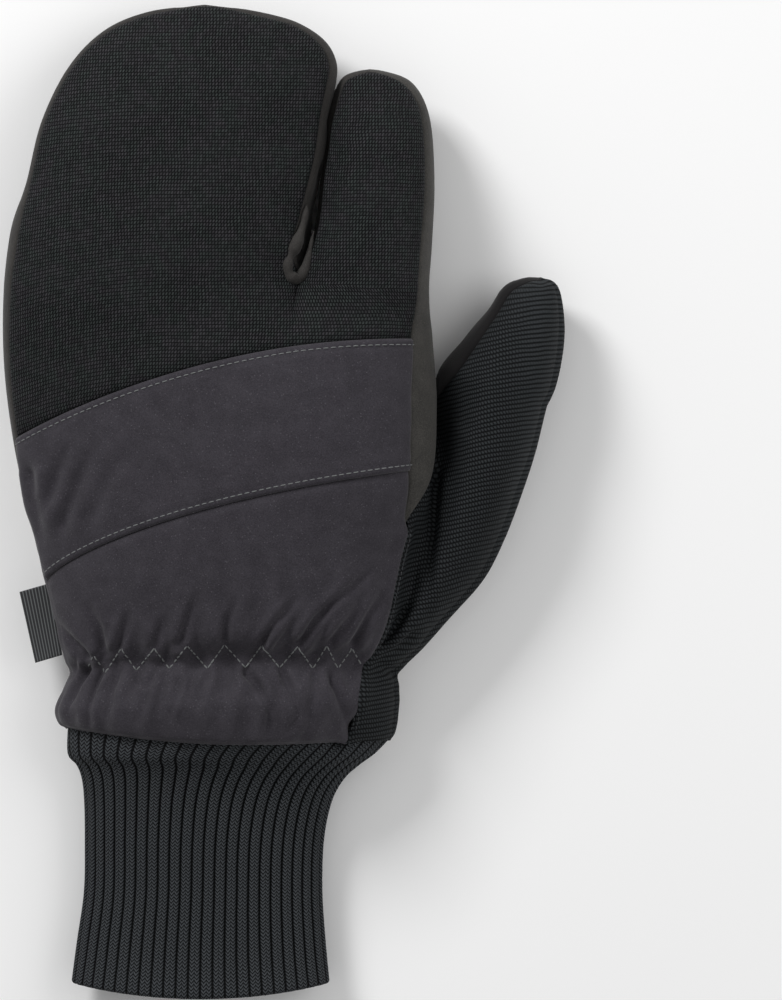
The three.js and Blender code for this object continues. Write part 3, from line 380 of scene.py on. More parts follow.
def palm_section(a, b, u):
    p = mix(a, b, u[..., None])
    p[..., 2] = a[..., 2] * curl(1 - u) + b[..., 2] * curl(u)
    return p


def palm_point(r, u):
    a = little_edge.palm(row(PALM_ROWS, "little", r))
    beyond = index_edge.palm(row(BACK_ROWS, "index", np.maximum(r, ROOT)))
    b = np.where((r <= ROOT)[..., None], web_point(np.minimum(r, ROOT)), beyond)
    risen = np.clip(row(PALM_ROWS, "fork", r), 0, 1)[..., None]
    fork = mitten_slit.palm(0 * r)
    low = mix(mix(a, b, FORK_SHARE), fork, risen**2)
    low[..., 2] = fork[..., 2]
    left = palm_section(a, low, np.clip(u / FORK_SHARE, 0, 1))
    right = palm_section(low, b, np.clip((u - FORK_SHARE) / (1 - FORK_SHARE), 0, 1))
    return mix(palm_section(a, b, u), np.where((u <= FORK_SHARE)[..., None], left, right), risen)


def palm_outer(r):
    start = PALM_ROWS["little"][FORK]
    return row(MITTEN_ROWS, "outer", r) + (start - 8) * np.clip(1 - r, 0, 1)


def palm_mitten_point(r, u):
    return palm_section(little_edge.palm(palm_outer(r)), mitten_slit.palm(row(MITTEN_ROWS, "slit", r)), u)


def palm_index_point(r, u):
    a = index_slit.palm(row(INDEX_ROWS, "slit", r))
    return palm_section(a, index_edge.palm(row(INDEX_ROWS, "outer", r)), u)


def palm_thumb_point(r, u):
    on_hand = web_point(np.minimum(r, ROOT))
    a = np.where((r <= ROOT)[..., None], on_hand, thumb_inner.palm(np.maximum(r - ROOT, 0)))
    return palm_section(a, thumb_outer.palm(r), u)


# %% [markdown]
# ## The skin, sewn from panels
# A sewn thing is one closed skin: each panel ends exactly where the next one starts. So every sheet
# of points is laid first, points that fall together are welded, and one set of outward directions
# is found for the whole. A panel made from it later fits its neighbours without any trimming.

# %% Lay the sheets
sheets = {}


def steps(counts):
    """Row numbers, with this many steps from each row to the next"""
    parts = [i + np.arange(n) / n for i, n in enumerate(counts)]
    return np.concatenate(parts + [[float(len(counts))]])


def eased(count, pinch=0.7):
    """Shares from 0 to 1, closer together at both ends, where a padded part bends most"""
    t = np.linspace(0, 1, count + 1)
    return t - pinch * np.sin(2 * np.pi * t) / (2 * np.pi)


def lay(name, panel, point, rows, shares, facing=1):
    r, u = np.meshgrid(rows, shares, indexing="ij")
    sheets[name] = {"panel": panel, "r": r, "u": u, "points": point(r, u), "facing": facing}


body = steps([12, 12, 12, 20, 16, 20, 20, 16, 16])
mitten_steps = steps([8] * 11)
index_steps = steps([8] * 8)
thumb_steps = np.concatenate([body[body < ROOT], ROOT + steps([12] * 6)])
over_mitten, over_index = eased(128), eased(60)
over_back = np.concatenate([over_mitten * FORK_SHARE, mix(FORK_SHARE, 1, over_index[1:])])
over_thumb, under_thumb = eased(64), eased(40, 0.4)
over_wall = np.linspace(0, 1, 17)
under_mitten, under_index = eased(72, 0.4), eased(36, 0.4)


def between(rows, low, high):
    return rows[(rows >= low) & (rows <= high)]


# %% Side walls
def lay_wall(name, panel, edge, rows, s_back, s_palm, facing):
    lay(name, panel, lambda r, t: edge.wall(s_back(r), s_palm(r), t), rows, over_wall, facing)


def section(table, name):
    return lambda r: row(table, name, r)


def thumb_section(r):
    return r - ROOT


back_little, palm_little = section(BACK_ROWS, "little"), section(PALM_ROWS, "little")
back_index, index_outer = section(BACK_ROWS, "index"), section(INDEX_ROWS, "outer")
slit_of_mitten, slit_of_index = section(MITTEN_ROWS, "slit"), section(INDEX_ROWS, "slit")
mitten_outer = section(MITTEN_ROWS, "outer")
thumb_finger = between(thumb_steps, ROOT, 12)
heel, above_heel = between(body, 0, BAND_LOW), between(body, BAND_LOW, FORK)
lay_wall("heel_wall", "gauntlet", little_edge, heel, back_little, palm_little, -1)
lay_wall("band_wall", "outer_side_wall", little_edge, above_heel, back_little, palm_little, -1)
lay_wall("mitten_wall", "outer_side_wall", little_edge, mitten_steps, mitten_outer, palm_outer, -1)
lay_wall("mitten_gusset", "finger_gusset", mitten_slit, mitten_steps, slit_of_mitten, slit_of_mitten, 1)
lay_wall("index_gusset", "finger_gusset", index_slit, index_steps, slit_of_index, slit_of_index, -1)
lay_wall("hand_wall", "index_side_wall", index_edge, between(body, 4, 9), back_index, back_index, 1)
lay_wall("index_wall", "index_side_wall", index_edge, index_steps, index_outer, index_outer, 1)
lay_wall("thumb_inner_wall", "thumb_patch", thumb_inner, thumb_finger, thumb_section, thumb_section, -1)
lay_wall("thumb_outer_wall", "thumb_back", thumb_outer, thumb_steps, lambda r: r, lambda r: r, 1)

# %% The back and the palm
lay("gauntlet", "gauntlet", back_point, between(body, 0, BAND_LOW), over_back)
lay("band", "knuckle_band", back_point, between(body, BAND_LOW, BAND_HIGH), over_back)
lay("back", "hand_back", back_point, between(body, BAND_HIGH, FORK), over_back)
lay("mitten", "hand_back", mitten_point, mitten_steps, over_mitten)
lay("index", "hand_back", index_point, index_steps, over_index)
lay("thumb", "thumb_back", thumb_point, thumb_steps, over_thumb)
under_palm = np.concatenate([under_mitten * FORK_SHARE, mix(FORK_SHARE, 1, under_index[1:])])
under_left, under_right = under_palm[: len(under_mitten)], under_palm[len(under_mitten) - 1 :]
lay("palm", "palm_leather", palm_point, between(body, 0, FLEX), under_palm, -1)
lay("palm_of_thumb", "palm_leather", palm_thumb_point, between(body, 0, ROOT), under_thumb, -1)
lay("flex", "flex_strip", palm_point, between(body, FLEX, KNUCKLE), under_palm, -1)
lay("above_flex", "finger_leather", palm_point, between(body, KNUCKLE, PATCH), under_palm, -1)
lay("mitten_root", "mitten_patch", palm_point, between(body, PATCH, FORK), under_left, -1)
lay("mitten_palm", "mitten_patch", palm_mitten_point, mitten_steps, under_mitten, -1)
lay("index_root", "index_patch", palm_point, between(body, PATCH, FORK), under_right, -1)
lay("index_palm", "index_patch", palm_index_point, index_steps, under_index, -1)
lay("thumb_palm", "thumb_patch", palm_thumb_point, thumb_finger, under_thumb, -1)
print(len(sheets), "sheets,", sum(s["r"].size for s in sheets.values()), "points before welding")

# %% Weld them into one skin, in metres and in the frame's place
WELD = 0.00231717  # mm, an odd size, so that no even measure lies on the border of two cells
every_point = np.concatenate([s["points"].reshape(-1, 3) for s in sheets.values()])
cells = np.round(every_point / WELD).astype(np.int64)
_, first, welded = np.unique(cells, axis=0, return_index=True, return_inverse=True)
skin = every_point[first]
start = 0
for s in sheets.values():
    s["ids"] = welded.reshape(-1)[start : start + s["r"].size].reshape(s["r"].shape)
    start += s["r"].size
wall_rows, wall_shares = np.meshgrid(np.arange(12.0), np.linspace(0, 1, 5), indexing="ij")
wall_points = little_edge.wall(mitten_outer(wall_rows), palm_outer(wall_rows), wall_shares)
wall_low, wall_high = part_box("outer_side_wall")
shift_x = wall_low.x / MM - wall_points[..., 0].min()
shift = np.array([shift_x, wall_high.y / MM - wall_points[..., 1].max(), 0])
skin = (skin + shift) * MM
print(len(skin), "points in the skin, moved by", shift.round(2), "mm")


# %% Faces and outward directions
def quads(ids, facing):
    ring = np.stack([ids[:-1, :-1], ids[:-1, 1:], ids[1:, 1:], ids[1:, :-1]], -1).reshape(-1, 4)
    return ring if facing > 0 else ring[:, ::-1]


def unit(directions):
    return directions / np.maximum(np.linalg.norm(directions, axis=-1, keepdims=True), 1e-12)


def averaged(values, faces):
    total = np.zeros_like(values)
    middle = values[faces].mean(1)
    for k in range(4):
        np.add.at(total, faces[:, k], middle)
    return total


def outward_directions(points, faces):
    """Each point's direction out of the skin, larger faces counting more, and then evened out a little"""
    across = np.cross(points[faces[:, 2]] - points[faces[:, 0]], points[faces[:, 3]] - points[faces[:, 1]])
    total = np.zeros_like(points)
    for k in range(4):
        np.add.at(total, faces[:, k], across)
    ways = unit(total)
    for _ in range(3):
        ways = unit(averaged(ways, faces))
    return ways


for s in sheets.values():
    s["faces"] = quads(s["ids"], s["facing"])
skin_faces = np.concatenate([s["faces"] for s in sheets.values()])
outward = outward_directions(skin, skin_faces)
panel_names = sorted({s["panel"] for s in sheets.values()})
members = {}
for name in panel_names:
    of_panel = [s["ids"].reshape(-1) for s in sheets.values() if s["panel"] == name]
    members[name] = np.unique(np.concatenate(of_panel))
sharing = np.zeros(len(skin), int)  # how many panels a point belongs to
for ids in members.values():
    sharing[ids] += 1
back_tips = [sheets[name]["ids"][-1, 0] for name in ("mitten", "index", "thumb")]
palm_tips = [sheets[name]["ids"][-1, 0] for name in ("mitten_palm", "index_palm", "thumb_palm")]
tips = np.unique(back_tips + palm_tips)
print(len(skin_faces), "faces in", len(panel_names), "panels;", int((sharing > 1).sum()), "points on seams")


# %% [markdown]
# ## The wadding pushes the cloth out
# Wadding under a sewn panel makes it belly out between its seams, and cloth that an elastic has
# gathered has more length than room, so it buckles. Cloth simulation shows both. A thinned copy of
# the skin is held at its seams, the cloth is cut a few percent too large, and air pressure pushes it
# out. How far each point moved is then capped and carried over to the full skin.

# %% How far places are from the nearest of some targets
def tree_of(targets):
    tree = KDTree(len(targets))
    for i, target in enumerate(targets):
        tree.insert(target, i)
    tree.balance()
    return tree


def nearest(places, targets):
    tree = tree_of(targets)
    return np.array([tree.find(place)[2] for place in places])


# %% A thinned copy of the skin, held at its seams
EVERY = 4  # every fourth row and column
CUT_LARGER = {"gauntlet": 0.10, "knuckle_band": 0.035, "hand_back": 0.02, "thumb_back": 0.04}
MOST_MOVE = {"gauntlet": 3.2 * MM, "knuckle_band": 1.6 * MM, "hand_back": 1.6 * MM, "thumb_back": 1.8 * MM}
MOST_ELSEWHERE = 0.8 * MM
ELASTIC_ROW = 2
thin = {name: s["ids"][::EVERY, ::EVERY] for name, s in sheets.items()}
thin_ids = np.unique(np.concatenate([ids.reshape(-1) for ids in thin.values()]))
thin_place = np.full(len(skin), -1)
thin_place[thin_ids] = np.arange(len(thin_ids))
thin_rings = []
for name, ids in thin.items():
    for ring in quads(thin_place[ids], sheets[name]["facing"]).tolist():
        ring = [v for k, v in enumerate(ring) if v != ring[k - 1]]
        if len(ring) > 2:
            thin_rings.append(ring)
elastic_sheets = [sheets[name] for name in ("gauntlet", "thumb", "heel_wall")]
elastic = np.concatenate([s["ids"][s["r"][:, 0] == ELASTIC_ROW][0] for s in elastic_sheets])
held = (sharing[thin_ids] > 1) | np.isin(thin_ids, elastic)
extra = np.zeros(len(thin_ids))
most = np.full(len(thin_ids), MOST_ELSEWHERE)
for name, share in CUT_LARGER.items():
    inside = np.isin(thin_ids, members[name])
    extra[inside] = share
    most[inside] = MOST_MOVE[name]
print(len(thin_ids), "points in the thinned skin,", int(held.sum()), "of them held")


# %% Let the pressure work for some frames
SHRINK_RANGE = 0.2  # a weight of 1 in the group of larger cloth makes it this much larger


def puffed(points, rings, held, extra, frames=24):
    mesh = bpy.data.meshes.new("thinned_skin")
    mesh.from_pydata(points.tolist(), [], rings)
    cloth = bpy.data.objects.new("thinned_skin", mesh)
    bpy.context.collection.objects.link(cloth)
    pins = cloth.vertex_groups.new(name="held")
    pins.add(np.flatnonzero(held).tolist(), 1.0, "REPLACE")
    larger = cloth.vertex_groups.new(name="larger")
    for i, share in enumerate(extra.tolist()):
        larger.add([i], share / SHRINK_RANGE, "REPLACE")
    modifier = cloth.modifiers.new("cloth", "CLOTH")
    settings = modifier.settings
    settings.vertex_group_mass = "held"
    settings.vertex_group_shrink = "larger"
    settings.shrink_min, settings.shrink_max = 0.0, -SHRINK_RANGE
    settings.use_pressure = True
    settings.uniform_pressure_force = 3.0
    settings.quality = 5
    settings.mass = 0.3
    settings.tension_stiffness = settings.compression_stiffness = 20
    settings.shear_stiffness = 8
    settings.bending_stiffness = 1.5
    settings.air_damping = 2
    settings.effector_weights.gravity = 0
    modifier.collision_settings.use_collision = False
    for frame_number in range(1, frames + 1):
        bpy.context.scene.frame_set(frame_number)
    evaluated = cloth.evaluated_get(bpy.context.evaluated_depsgraph_get())
    co = np.zeros(len(points) * 3, np.float32)
    evaluated.data.vertices.foreach_get("co", co)
    bpy.data.objects.remove(cloth)
    bpy.context.scene.frame_set(1)
    return co.reshape(-1, 3).astype(float)


started = time.perf_counter()
moved = puffed(skin[thin_ids], thin_rings, held, extra) - skin[thin_ids]
reach = np.linalg.norm(moved, axis=1)
most = np.maximum(most * np.clip(nearest(skin[thin_ids], skin[tips]) / (12 * MM) - 0.3, 0, 1), 1e-6)
moved *= (most * np.tanh(reach / most) / np.maximum(reach, 1e-9))[:, None]
print("cloth took", round(time.perf_counter() - started, 1), "s")
print("furthest move before the cap in mm:", round(reach.max() / MM, 2))


# %% Carry the move over to the full skin
def finer(count):
    """Weights that take values at every fourth point to all points, on a smooth curve"""
    places = np.arange(count) / EVERY
    return np.stack([along(unit, places) for unit in np.eye((count - 1) // EVERY + 1)], 1)


full_move = np.zeros_like(skin)
for name, s in sheets.items():
    coarse = moved[thin_place[thin[name]]]
    rows_here, columns_here = s["ids"].shape
    full = np.einsum("ri,ijk,cj->rck", finer(rows_here), coarse, finer(columns_here))
    full_move[s["ids"].reshape(-1)] = full.reshape(-1, 3)
skin = skin + full_move


def softened(points, share, times):
    """Draws each point towards the middle of the faces round it, by its own share"""
    for _ in range(times):
        middle = averaged(points, skin_faces) / np.maximum(faces_round, 1)[:, None]
        points = points + share[:, None] * (middle - points)
    return points


# Under the fingertips the sheets turn sharply, where real padding stays round
TIP_REACH, TIP_HEIGHT = 11 * MM, 13 * MM
faces_round = np.bincount(skin_faces.reshape(-1), minlength=len(skin))
under_tip = np.clip(1.4 - nearest(skin, skin[palm_tips]) / TIP_REACH, 0, 1) * (skin[:, 2] < TIP_HEIGHT)
skin = softened(skin, 0.8 * under_tip, 30)

# The padding fills the thumb's tip to a broad round
THUMB_TIP = [  # x, y, reach, and the move in x and y, in mm
    (77.0, 68.0, 9.0, 0.0, 0.9),
    (84.5, 66.0, 4.5, 0.2, 0.6),
    (69.5, 66.2, 5.5, -0.3, 0.7),
    (80.3, 68.8, 2.2, 0.0, -0.8),
]
for x, y, reach, *move in THUMB_TIP:
    near_place = np.exp(-np.sum((skin[:, :2] / MM - [x, y]) ** 2, axis=1) / reach**2)
    skin[:, :2] += near_place[:, None] * np.array(move) * MM
outward = outward_directions(skin, skin_faces)

# %% [markdown]
# ## How far each point is from its seams
# Fabric dips where it is sewn. To draw that, each point needs its distance to the nearest seam of
# its own panel. A k-d tree answers such questions quickly.

# %% Distances to seams
def seam_points(a, b):
    return np.intersect1d(members[a], members[b])


HEM_SHEETS = ("gauntlet", "thumb", "thumb_outer_wall", "palm_of_thumb", "palm", "heel_wall")
hem = np.unique(np.concatenate([sheets[name]["ids"][0] for name in HEM_SHEETS]))
seam_distance = {}
calm = {}  # the panels' corners at a fingertip stay plain
for name, ids in members.items():
    rim = ids[(sharing[ids] > 1) | np.isin(ids, hem)]
    seam_distance[name] = nearest(skin[ids], skin[rim])
    from_tip = nearest(skin[ids], skin[tips])
    calm[name] = np.clip((from_tip - 1.5 * MM) / (5 * MM), 0, 1)
print("furthest from a seam, in mm:", {n: round(float(d.max() / MM), 1) for n, d in seam_distance.items()})


# %% [markdown]
# ## Relief
# The panels puff up a little between their seams, the band lies on top of its neighbours with a
# folded edge, and the gauntlet is crumpled by its elastic. A height is added along each point's
# outward direction. Smooth noise with a fixed place in space gives the irregular part.

# %% Heights over the skin
def bell(d, width):
    return np.exp(-((d / width) ** 2))


def wavy(points, size, stretch=(1, 1, 1), seed=0.0):
    scaled = points / (np.array(stretch) * size) + seed
    return np.array([noise.noise(Vector(p)) for p in scaled])


def row_numbers(panel):
    """The row number of each point of a panel"""
    found = np.zeros(len(skin))
    for s in sheets.values():
        if s["panel"] == panel:
            found[s["ids"].reshape(-1)] = s["r"].reshape(-1)
    return found[members[panel]]


PHOTO_X, PHOTO_Y, PHOTO_MM = 284, 499, 0.3125  # the frame's origin on the photo, and a pixel's size


def px(x, y):
    """A place on the photographed back, in the frame's metres"""
    return np.array([(x - PHOTO_X) * PHOTO_MM, (PHOTO_Y - y) * PHOTO_MM]) * MM


# %% [markdown]
# Creases that the photograph shows clearly are drawn as lines in plan. A crease is a narrow valley
# with a soft ridge on each side. It is deepest at its first corner and fades out at its last one.


# %% A crease along a line
def from_line(places, corners):
    """How far places are from a line in plan, and how far along the line they are, from 0 to 1"""
    lengths = [np.linalg.norm(b - a) for a, b in zip(corners[:-1], corners[1:])]
    nearest_yet = np.full(len(places), np.inf)
    share = np.zeros(len(places))
    passed = 0.0
    for a, b, length in zip(corners[:-1], corners[1:], lengths):
        t = np.clip((places - a) @ (b - a) / length**2, 0, 1)
        d = np.linalg.norm(places - a - t[:, None] * (b - a), axis=1)
        closer = d < nearest_yet
        share[closer] = ((passed + t * length) / sum(lengths))[closer]
        nearest_yet[closer] = d[closer]
        passed += length
    return nearest_yet, share


def crease(places, corners, depth, width=1.3):
    d, share = from_line(places[:, :2], [px(*corner) for corner in corners])
    fading = np.clip(share / 0.08 + 0.35, 0, 1) * (1 - share) ** 0.8
    w = width * MM
    return depth * MM * fading * (0.5 * bell(d - 1.9 * w, w) - bell(d, 0.8 * w))


FOLDS = [  # corners on the photographed back, the deepest end first, and the depth in mm
    ([(90, 659), (72, 640), (54, 619)], 1.3),
    ([(104, 650), (100, 628), (86, 600)], 0.9),
    ([(119, 649), (124, 630), (131, 606)], 1.2),
    ([(155, 648), (160, 632), (168, 612)], 0.7),
    ([(181, 643), (188, 620), (199, 590)], 1.1),
    ([(224, 643), (229, 618), (243, 586)], 0.8),
    ([(262, 644), (276, 622), (300, 596)], 1.2),
    ([(299, 644), (318, 617), (345, 592), (378, 566)], 1.5),
    ([(330, 644), (343, 626), (362, 606)], 1.2),
    ([(353, 645), (368, 616), (388, 586)], 1.3),
    ([(90, 667), (78, 684), (66, 708)], 1.3),
    ([(102, 671), (91, 695), (88, 712), (91, 736)], 1.5),
    ([(118, 673), (112, 692), (108, 720)], 1.0),
    ([(137, 672), (147, 700), (140, 726)], 0.6),
    ([(153, 676), (146, 698), (138, 724)], 1.0),
    ([(181, 676), (176, 697), (168, 722)], 1.1),
    ([(209, 670), (202, 690), (195, 714)], 1.0),
    ([(246, 669), (262, 690), (271, 708), (266, 740)], 1.7),
    ([(281, 669), (292, 692), (298, 715), (284, 738)], 1.3),
    ([(314, 670), (316, 694), (306, 724)], 0.7),
    ([(330, 672), (341, 700), (348, 722), (350, 740)], 1.4),
]
BAND_FOLDS = [
    ([(30, 468), (36, 500), (44, 545)], 0.9),
    ([(48, 505), (60, 470), (78, 432)], 0.8),
    ([(62, 530), (80, 480), (104, 430)], 0.7),
    ([(92, 520), (112, 476), (140, 438)], 0.45),
    ([(352, 352), (360, 400), (372, 448)], 0.35),
]
THUMB_FOLDS = [
    ([(437, 470), (433, 520), (430, 570), (427, 622)], 2.2),
    ([(414, 634), (396, 650), (378, 658)], 1.5),
    ([(408, 606), (394, 628), (380, 650)], 1.4),
    ([(400, 676), (386, 668), (372, 664)], 1.1),
]
print(len(FOLDS), "folds at the wrist")

# %% Relief of the cloth on the back
free = {name: np.zeros(len(ids)) for name, ids in members.items()}
free["hand_back"] += 0.35 * MM * wavy(skin[members["hand_back"]], 0.03, seed=3.1)

p = skin[members["gauntlet"]]
gauntlet_rows = row_numbers("gauntlet")
from_elastic = np.abs(gauntlet_rows - ELASTIC_ROW)
folded = sum(crease(p, corners, 1.6 * depth) for corners, depth in FOLDS)
free["gauntlet"] += 2 * MM * np.tanh(folded / (2 * MM))
sharp = np.abs(wavy(p - [0.45, 0, 0] * p[:, 1:2], 0.0065, (1, 3.2, 1), seed=1.3))
free["gauntlet"] += 1.5 * MM * bell(from_elastic, 1.1) * (sharp**0.7 - 0.4)
below_band = np.clip(1.2 - gauntlet_rows / 5, 0, 1)
free["gauntlet"] += 1.1 * MM * wavy(p, 0.017, (1, 1.6, 1), seed=4.2) * below_band
free["gauntlet"] += 0.3 * MM * wavy(p, 0.02, seed=9.4) - 0.8 * MM * bell(from_elastic, 0.25)

p = skin[members["thumb_back"]]
free["thumb_back"] += 0.7 * MM * wavy(p, 0.02, (1, 1.5, 1), seed=2.2)
for corners, depth in THUMB_FOLDS:
    free["thumb_back"] += crease(p, corners, depth, 1.5)
free["thumb_back"] -= 1.0 * MM * bell(np.abs(row_numbers("thumb_back") - ELASTIC_ROW), 0.3)

# %% Relief of the strips, the palm and the band
for name in ("outer_side_wall", "index_side_wall"):
    free[name] += 0.35 * MM * wavy(skin[members[name]], 0.02, (1, 2, 1), seed=5.5) - 0.5 * MM
ids = members["finger_gusset"]
on_mitten = np.isin(ids, sheets["mitten_gusset"]["ids"])
near_fork = np.clip(3.5 - row_numbers("finger_gusset") / 2, 0, 1)
bulges = wavy(skin[ids], 0.006, (1, 1.4, 1), seed=8.8) * near_fork
down_the_strip = np.zeros(len(skin))
index_ids = sheets["index_gusset"]["ids"]
down_the_strip[index_ids] = np.linspace(0, 1, index_ids.shape[1])
index_side = along([-2.2, -2.2, 1.6, 1.8, 1.2, 0], 5 * down_the_strip[ids]) * near_fork
free["finger_gusset"] += np.where(on_mitten, 0.3 * near_fork + 1.2 * bulges, index_side) * MM
for name in ("palm_leather", "finger_leather", "thumb_patch", "index_patch", "mitten_patch"):
    free[name] += 0.45 * MM * wavy(skin[members[name]], 0.012, seed=6.1)
channels = row_numbers("flex_strip")
for groove in (6.25, 6.5, 6.75):
    free["flex_strip"] -= 0.9 * MM * bell(channels - groove, 0.045)

SEAM_DEPTH, SEAM_WIDTH = 0.7 * MM, 1.5 * MM
relief = {}
corner = sheets["thumb_outer_wall"]["ids"][0, 8:9]
for name, d in seam_distance.items():
    p = skin[members[name]]
    relief[name] = free[name] * (1 - bell(d, 2 * MM)) - SEAM_DEPTH * bell(d, SEAM_WIDTH)
    relief[name] -= 0.6 * MM * bell(nearest(p, skin[hem]), 1.3 * MM)  # the hem is rolled in
    relief[name] -= 1.5 * MM * bell(nearest(p, skin[corner]), 3.8 * MM)  # and the side's corner is round

# The gauntlet is sewn flat to the side panel, so the groove between them is shallow, and the knit
# beside the finger slit is so full that it stands over its seams
RAISED_SEAMS = [("gauntlet", "thumb_back", 2.4, 3.2), ("hand_back", "finger_gusset", 1.7, 2.6)]
for one, other, raised, width in RAISED_SEAMS:
    seam = skin[seam_points(one, other)]
    for name in (one, other):
        p = skin[members[name]]
        near_seam = bell(nearest(p, seam), width * MM)
        if one == "hand_back":
            near_seam *= np.clip((nearest(p, skin[tips]) - 15 * MM) / (20 * MM), 0, 1)
        if name == "finger_gusset":
            near_seam *= on_mitten
        relief[name] += raised * MM * near_seam

# The band lies on top: raised, with folded edges and a line of stitching pulled in along each
p = skin[members["knuckle_band"]]
low_edge = nearest(p, skin[seam_points("knuckle_band", "gauntlet")])
high_edge = nearest(p, skin[seam_points("knuckle_band", "hand_back")])
edge_distance = np.minimum(low_edge, high_edge)
relief["knuckle_band"] = 0.5 * MM - 0.8 * MM * bell(edge_distance, 0.55 * MM)
relief["knuckle_band"] -= 0.4 * MM * bell(edge_distance - 2.3 * MM, 0.6 * MM)
inside_band = 1 - bell(edge_distance, 4 * MM)
for corners, depth in BAND_FOLDS:
    relief["knuckle_band"] += crease(p, corners, 1.8 * depth, 2.2) * inside_band
relief["knuckle_band"] += 0.6 * MM * wavy(p, 0.02, (1, 0.6, 1), seed=7.7) * inside_band
for name in panel_names:
    relief[name] *= calm[name]
for name, h in relief.items():
    print(name, "relief from", round(h.min() / MM, 2), "to", round(h.max() / MM, 2), "mm")

# %% [markdown]
# ## Fabric coordinates
# A knit runs along the hand, so its pattern can't be laid in plain x and y: it would smear down the
# sides. Each knit sheet is measured across from one column of points and along the hand, in metres,
# and the courses lean over on the little finger's side as the real cloth does.


# %% Measure the cloth
def run_across(s, column):
    steps_across = np.linalg.norm(np.diff(s["points"][..., [0, 2]], axis=1), axis=2)
    run = np.concatenate([np.zeros((len(steps_across), 1)), np.cumsum(steps_across, 1)], 1)
    return run - run[:, column : column + 1] + s["points"][:, column, 0][:, None]


def course(s):
    x, y = s["points"][..., 0], s["points"][..., 1]
    lean = np.clip(1.4 - y / 200, 0, 1) ** 1.5
    return y + 0.0045 * np.maximum(0, -12 - x) ** 2 * lean


half_mitten = len(over_mitten) // 2
half_index = len(over_index) // 2
for s in sheets.values():
    s["cloth"] = s["points"][..., :2] * MM
back_run = run_across(sheets["back"], half_mitten)
index_run = run_across(sheets["index"], half_index)
index_run += back_run[-1, len(over_mitten) - 1 + half_index] - index_run[0, half_index]
knit_runs = {"back": back_run, "mitten": run_across(sheets["mitten"], half_mitten), "index": index_run}
for name, run in knit_runs.items():
    sheets[name]["cloth"] = np.stack([run, course(sheets[name])], -1) * MM
thumb_run = run_across(sheets["thumb"], len(over_thumb) // 2)
wall_run = run_across(sheets["thumb_outer_wall"], 0)
wall_run += thumb_run[:, -1:] - wall_run[:, :1]
for name, run in (("thumb", thumb_run), ("thumb_outer_wall", wall_run)):
    tilt = sheets[name]["points"][..., 1] - 7.8 * np.tanh((sheets[name]["points"][..., 0] - 70) / 30)
    sheets[name]["cloth"] = np.stack([run, tilt], -1) * MM

# %% [markdown]
# ## Materials
# Cloth and leather are drawn by small formulas: cells of yarn, grain and fibres. Shader maths reads
# best as ordinary sums, so a thin class wraps a socket, and + - * / on it add the Math nodes.


# %% Sockets that can be reckoned with
class Wire:
    def __init__(self, finish, socket):
        self.finish, self.socket = finish, socket

    def math(self, operation, *values):
        inputs = {i: v for i, v in enumerate(values)}
        return self.finish.add("ShaderNodeMath", {"operation": operation}, inputs)

    def __add__(self, other):
        return self.math("ADD", self, other)

    def __radd__(self, other):
        return self.math("ADD", other, self)

    def __sub__(self, other):
        return self.math("SUBTRACT", self, other)

    def __rsub__(self, other):
        return self.math("SUBTRACT", other, self)

    def __mul__(self, other):
        return self.math("MULTIPLY", self, other)

    def __rmul__(self, other):
        return self.math("MULTIPLY", other, self)

    def __truediv__(self, other):
        return self.math("DIVIDE", self, other)

    def __abs__(self):
        return self.math("ABSOLUTE", self)

    def sine(self):
        return self.math("SINE", self)

    def floor(self):
        return self.math("FLOOR", self)

    def part(self):
        return self.math("FRACT", self)


class Finish:
    """A material, with one method for every kind of node"""

    def __init__(self, name):
        self.material = bpy.data.materials.new(name)
        self.material.use_nodes = True
        self.tree = self.material.node_tree
        self.tree.nodes.clear()

    def add(self, kind, settings=None, inputs=None, output=0):
        node = self.tree.nodes.new(kind)
        for key, value in (settings or {}).items():
            setattr(node, key, value)
        for key, value in (inputs or {}).items():
            if isinstance(value, Wire):
                self.tree.links.new(value.socket, node.inputs[key])
            else:
                node.inputs[key].default_value = value
        return Wire(self, node.outputs[output]) if len(node.outputs) else None

    def object_place(self):
        return self.add("ShaderNodeTexCoord", output="Object")

    def cloth_place(self):
        place = self.add("ShaderNodeUVMap", {"uv_map": "cloth"})
        return [self.add("ShaderNodeSeparateXYZ", inputs={0: place}, output=i) for i in (0, 1)]

    def noise(self, place, size, detail=2.0, roughness=0.5):
        """Smooth noise from 0 to 1, with lumps of this size in metres"""
        inputs = {"Vector": place, "Scale": 1 / size, "Detail": detail, "Roughness": roughness}
        return self.add("ShaderNodeTexNoise", inputs=inputs)

    def rise(self, value, low, high, start=0.0, end=1.0):
        """Goes smoothly from start to end while value goes from low to high"""
        inputs = {"Value": value, "From Min": low, "From Max": high, "To Min": start, "To Max": end}
        return self.add("ShaderNodeMapRange", {"interpolation_type": "SMOOTHSTEP"}, inputs)

    def blend(self, share, a, b):
        """Colour a where share is 0, b where it is 1"""
        return self.add("ShaderNodeMix", {"data_type": "RGBA"}, {0: share, 6: a, 7: b}, output=2)

    def bump(self, height):
        """Raises the surface by a height in metres"""
        return self.add("ShaderNodeBump", inputs={"Height": height, "Distance": 1.0, "Strength": 1.0})

    def surface(self, colour, roughness, normal, **plain):
        inputs = {"Base Color": colour, "Roughness": roughness, "Normal": normal}
        inputs |= {name.replace("_", " "): value for name, value in plain.items()}
        shader = self.add("ShaderNodeBsdfPrincipled", inputs=inputs)
        self.add("ShaderNodeOutputMaterial", inputs={"Surface": shader})
        return self.material


def tone(hex_colour):
    """A screen colour as the linear colour that shaders use"""
    parts = [int(hex_colour[i : i + 2], 16) / 255 for i in (0, 2, 4)]
    return tuple(c / 12.92 if c <= 0.04045 else ((c + 0.055) / 1.055) ** 2.4 for c in parts) + (1.0,)


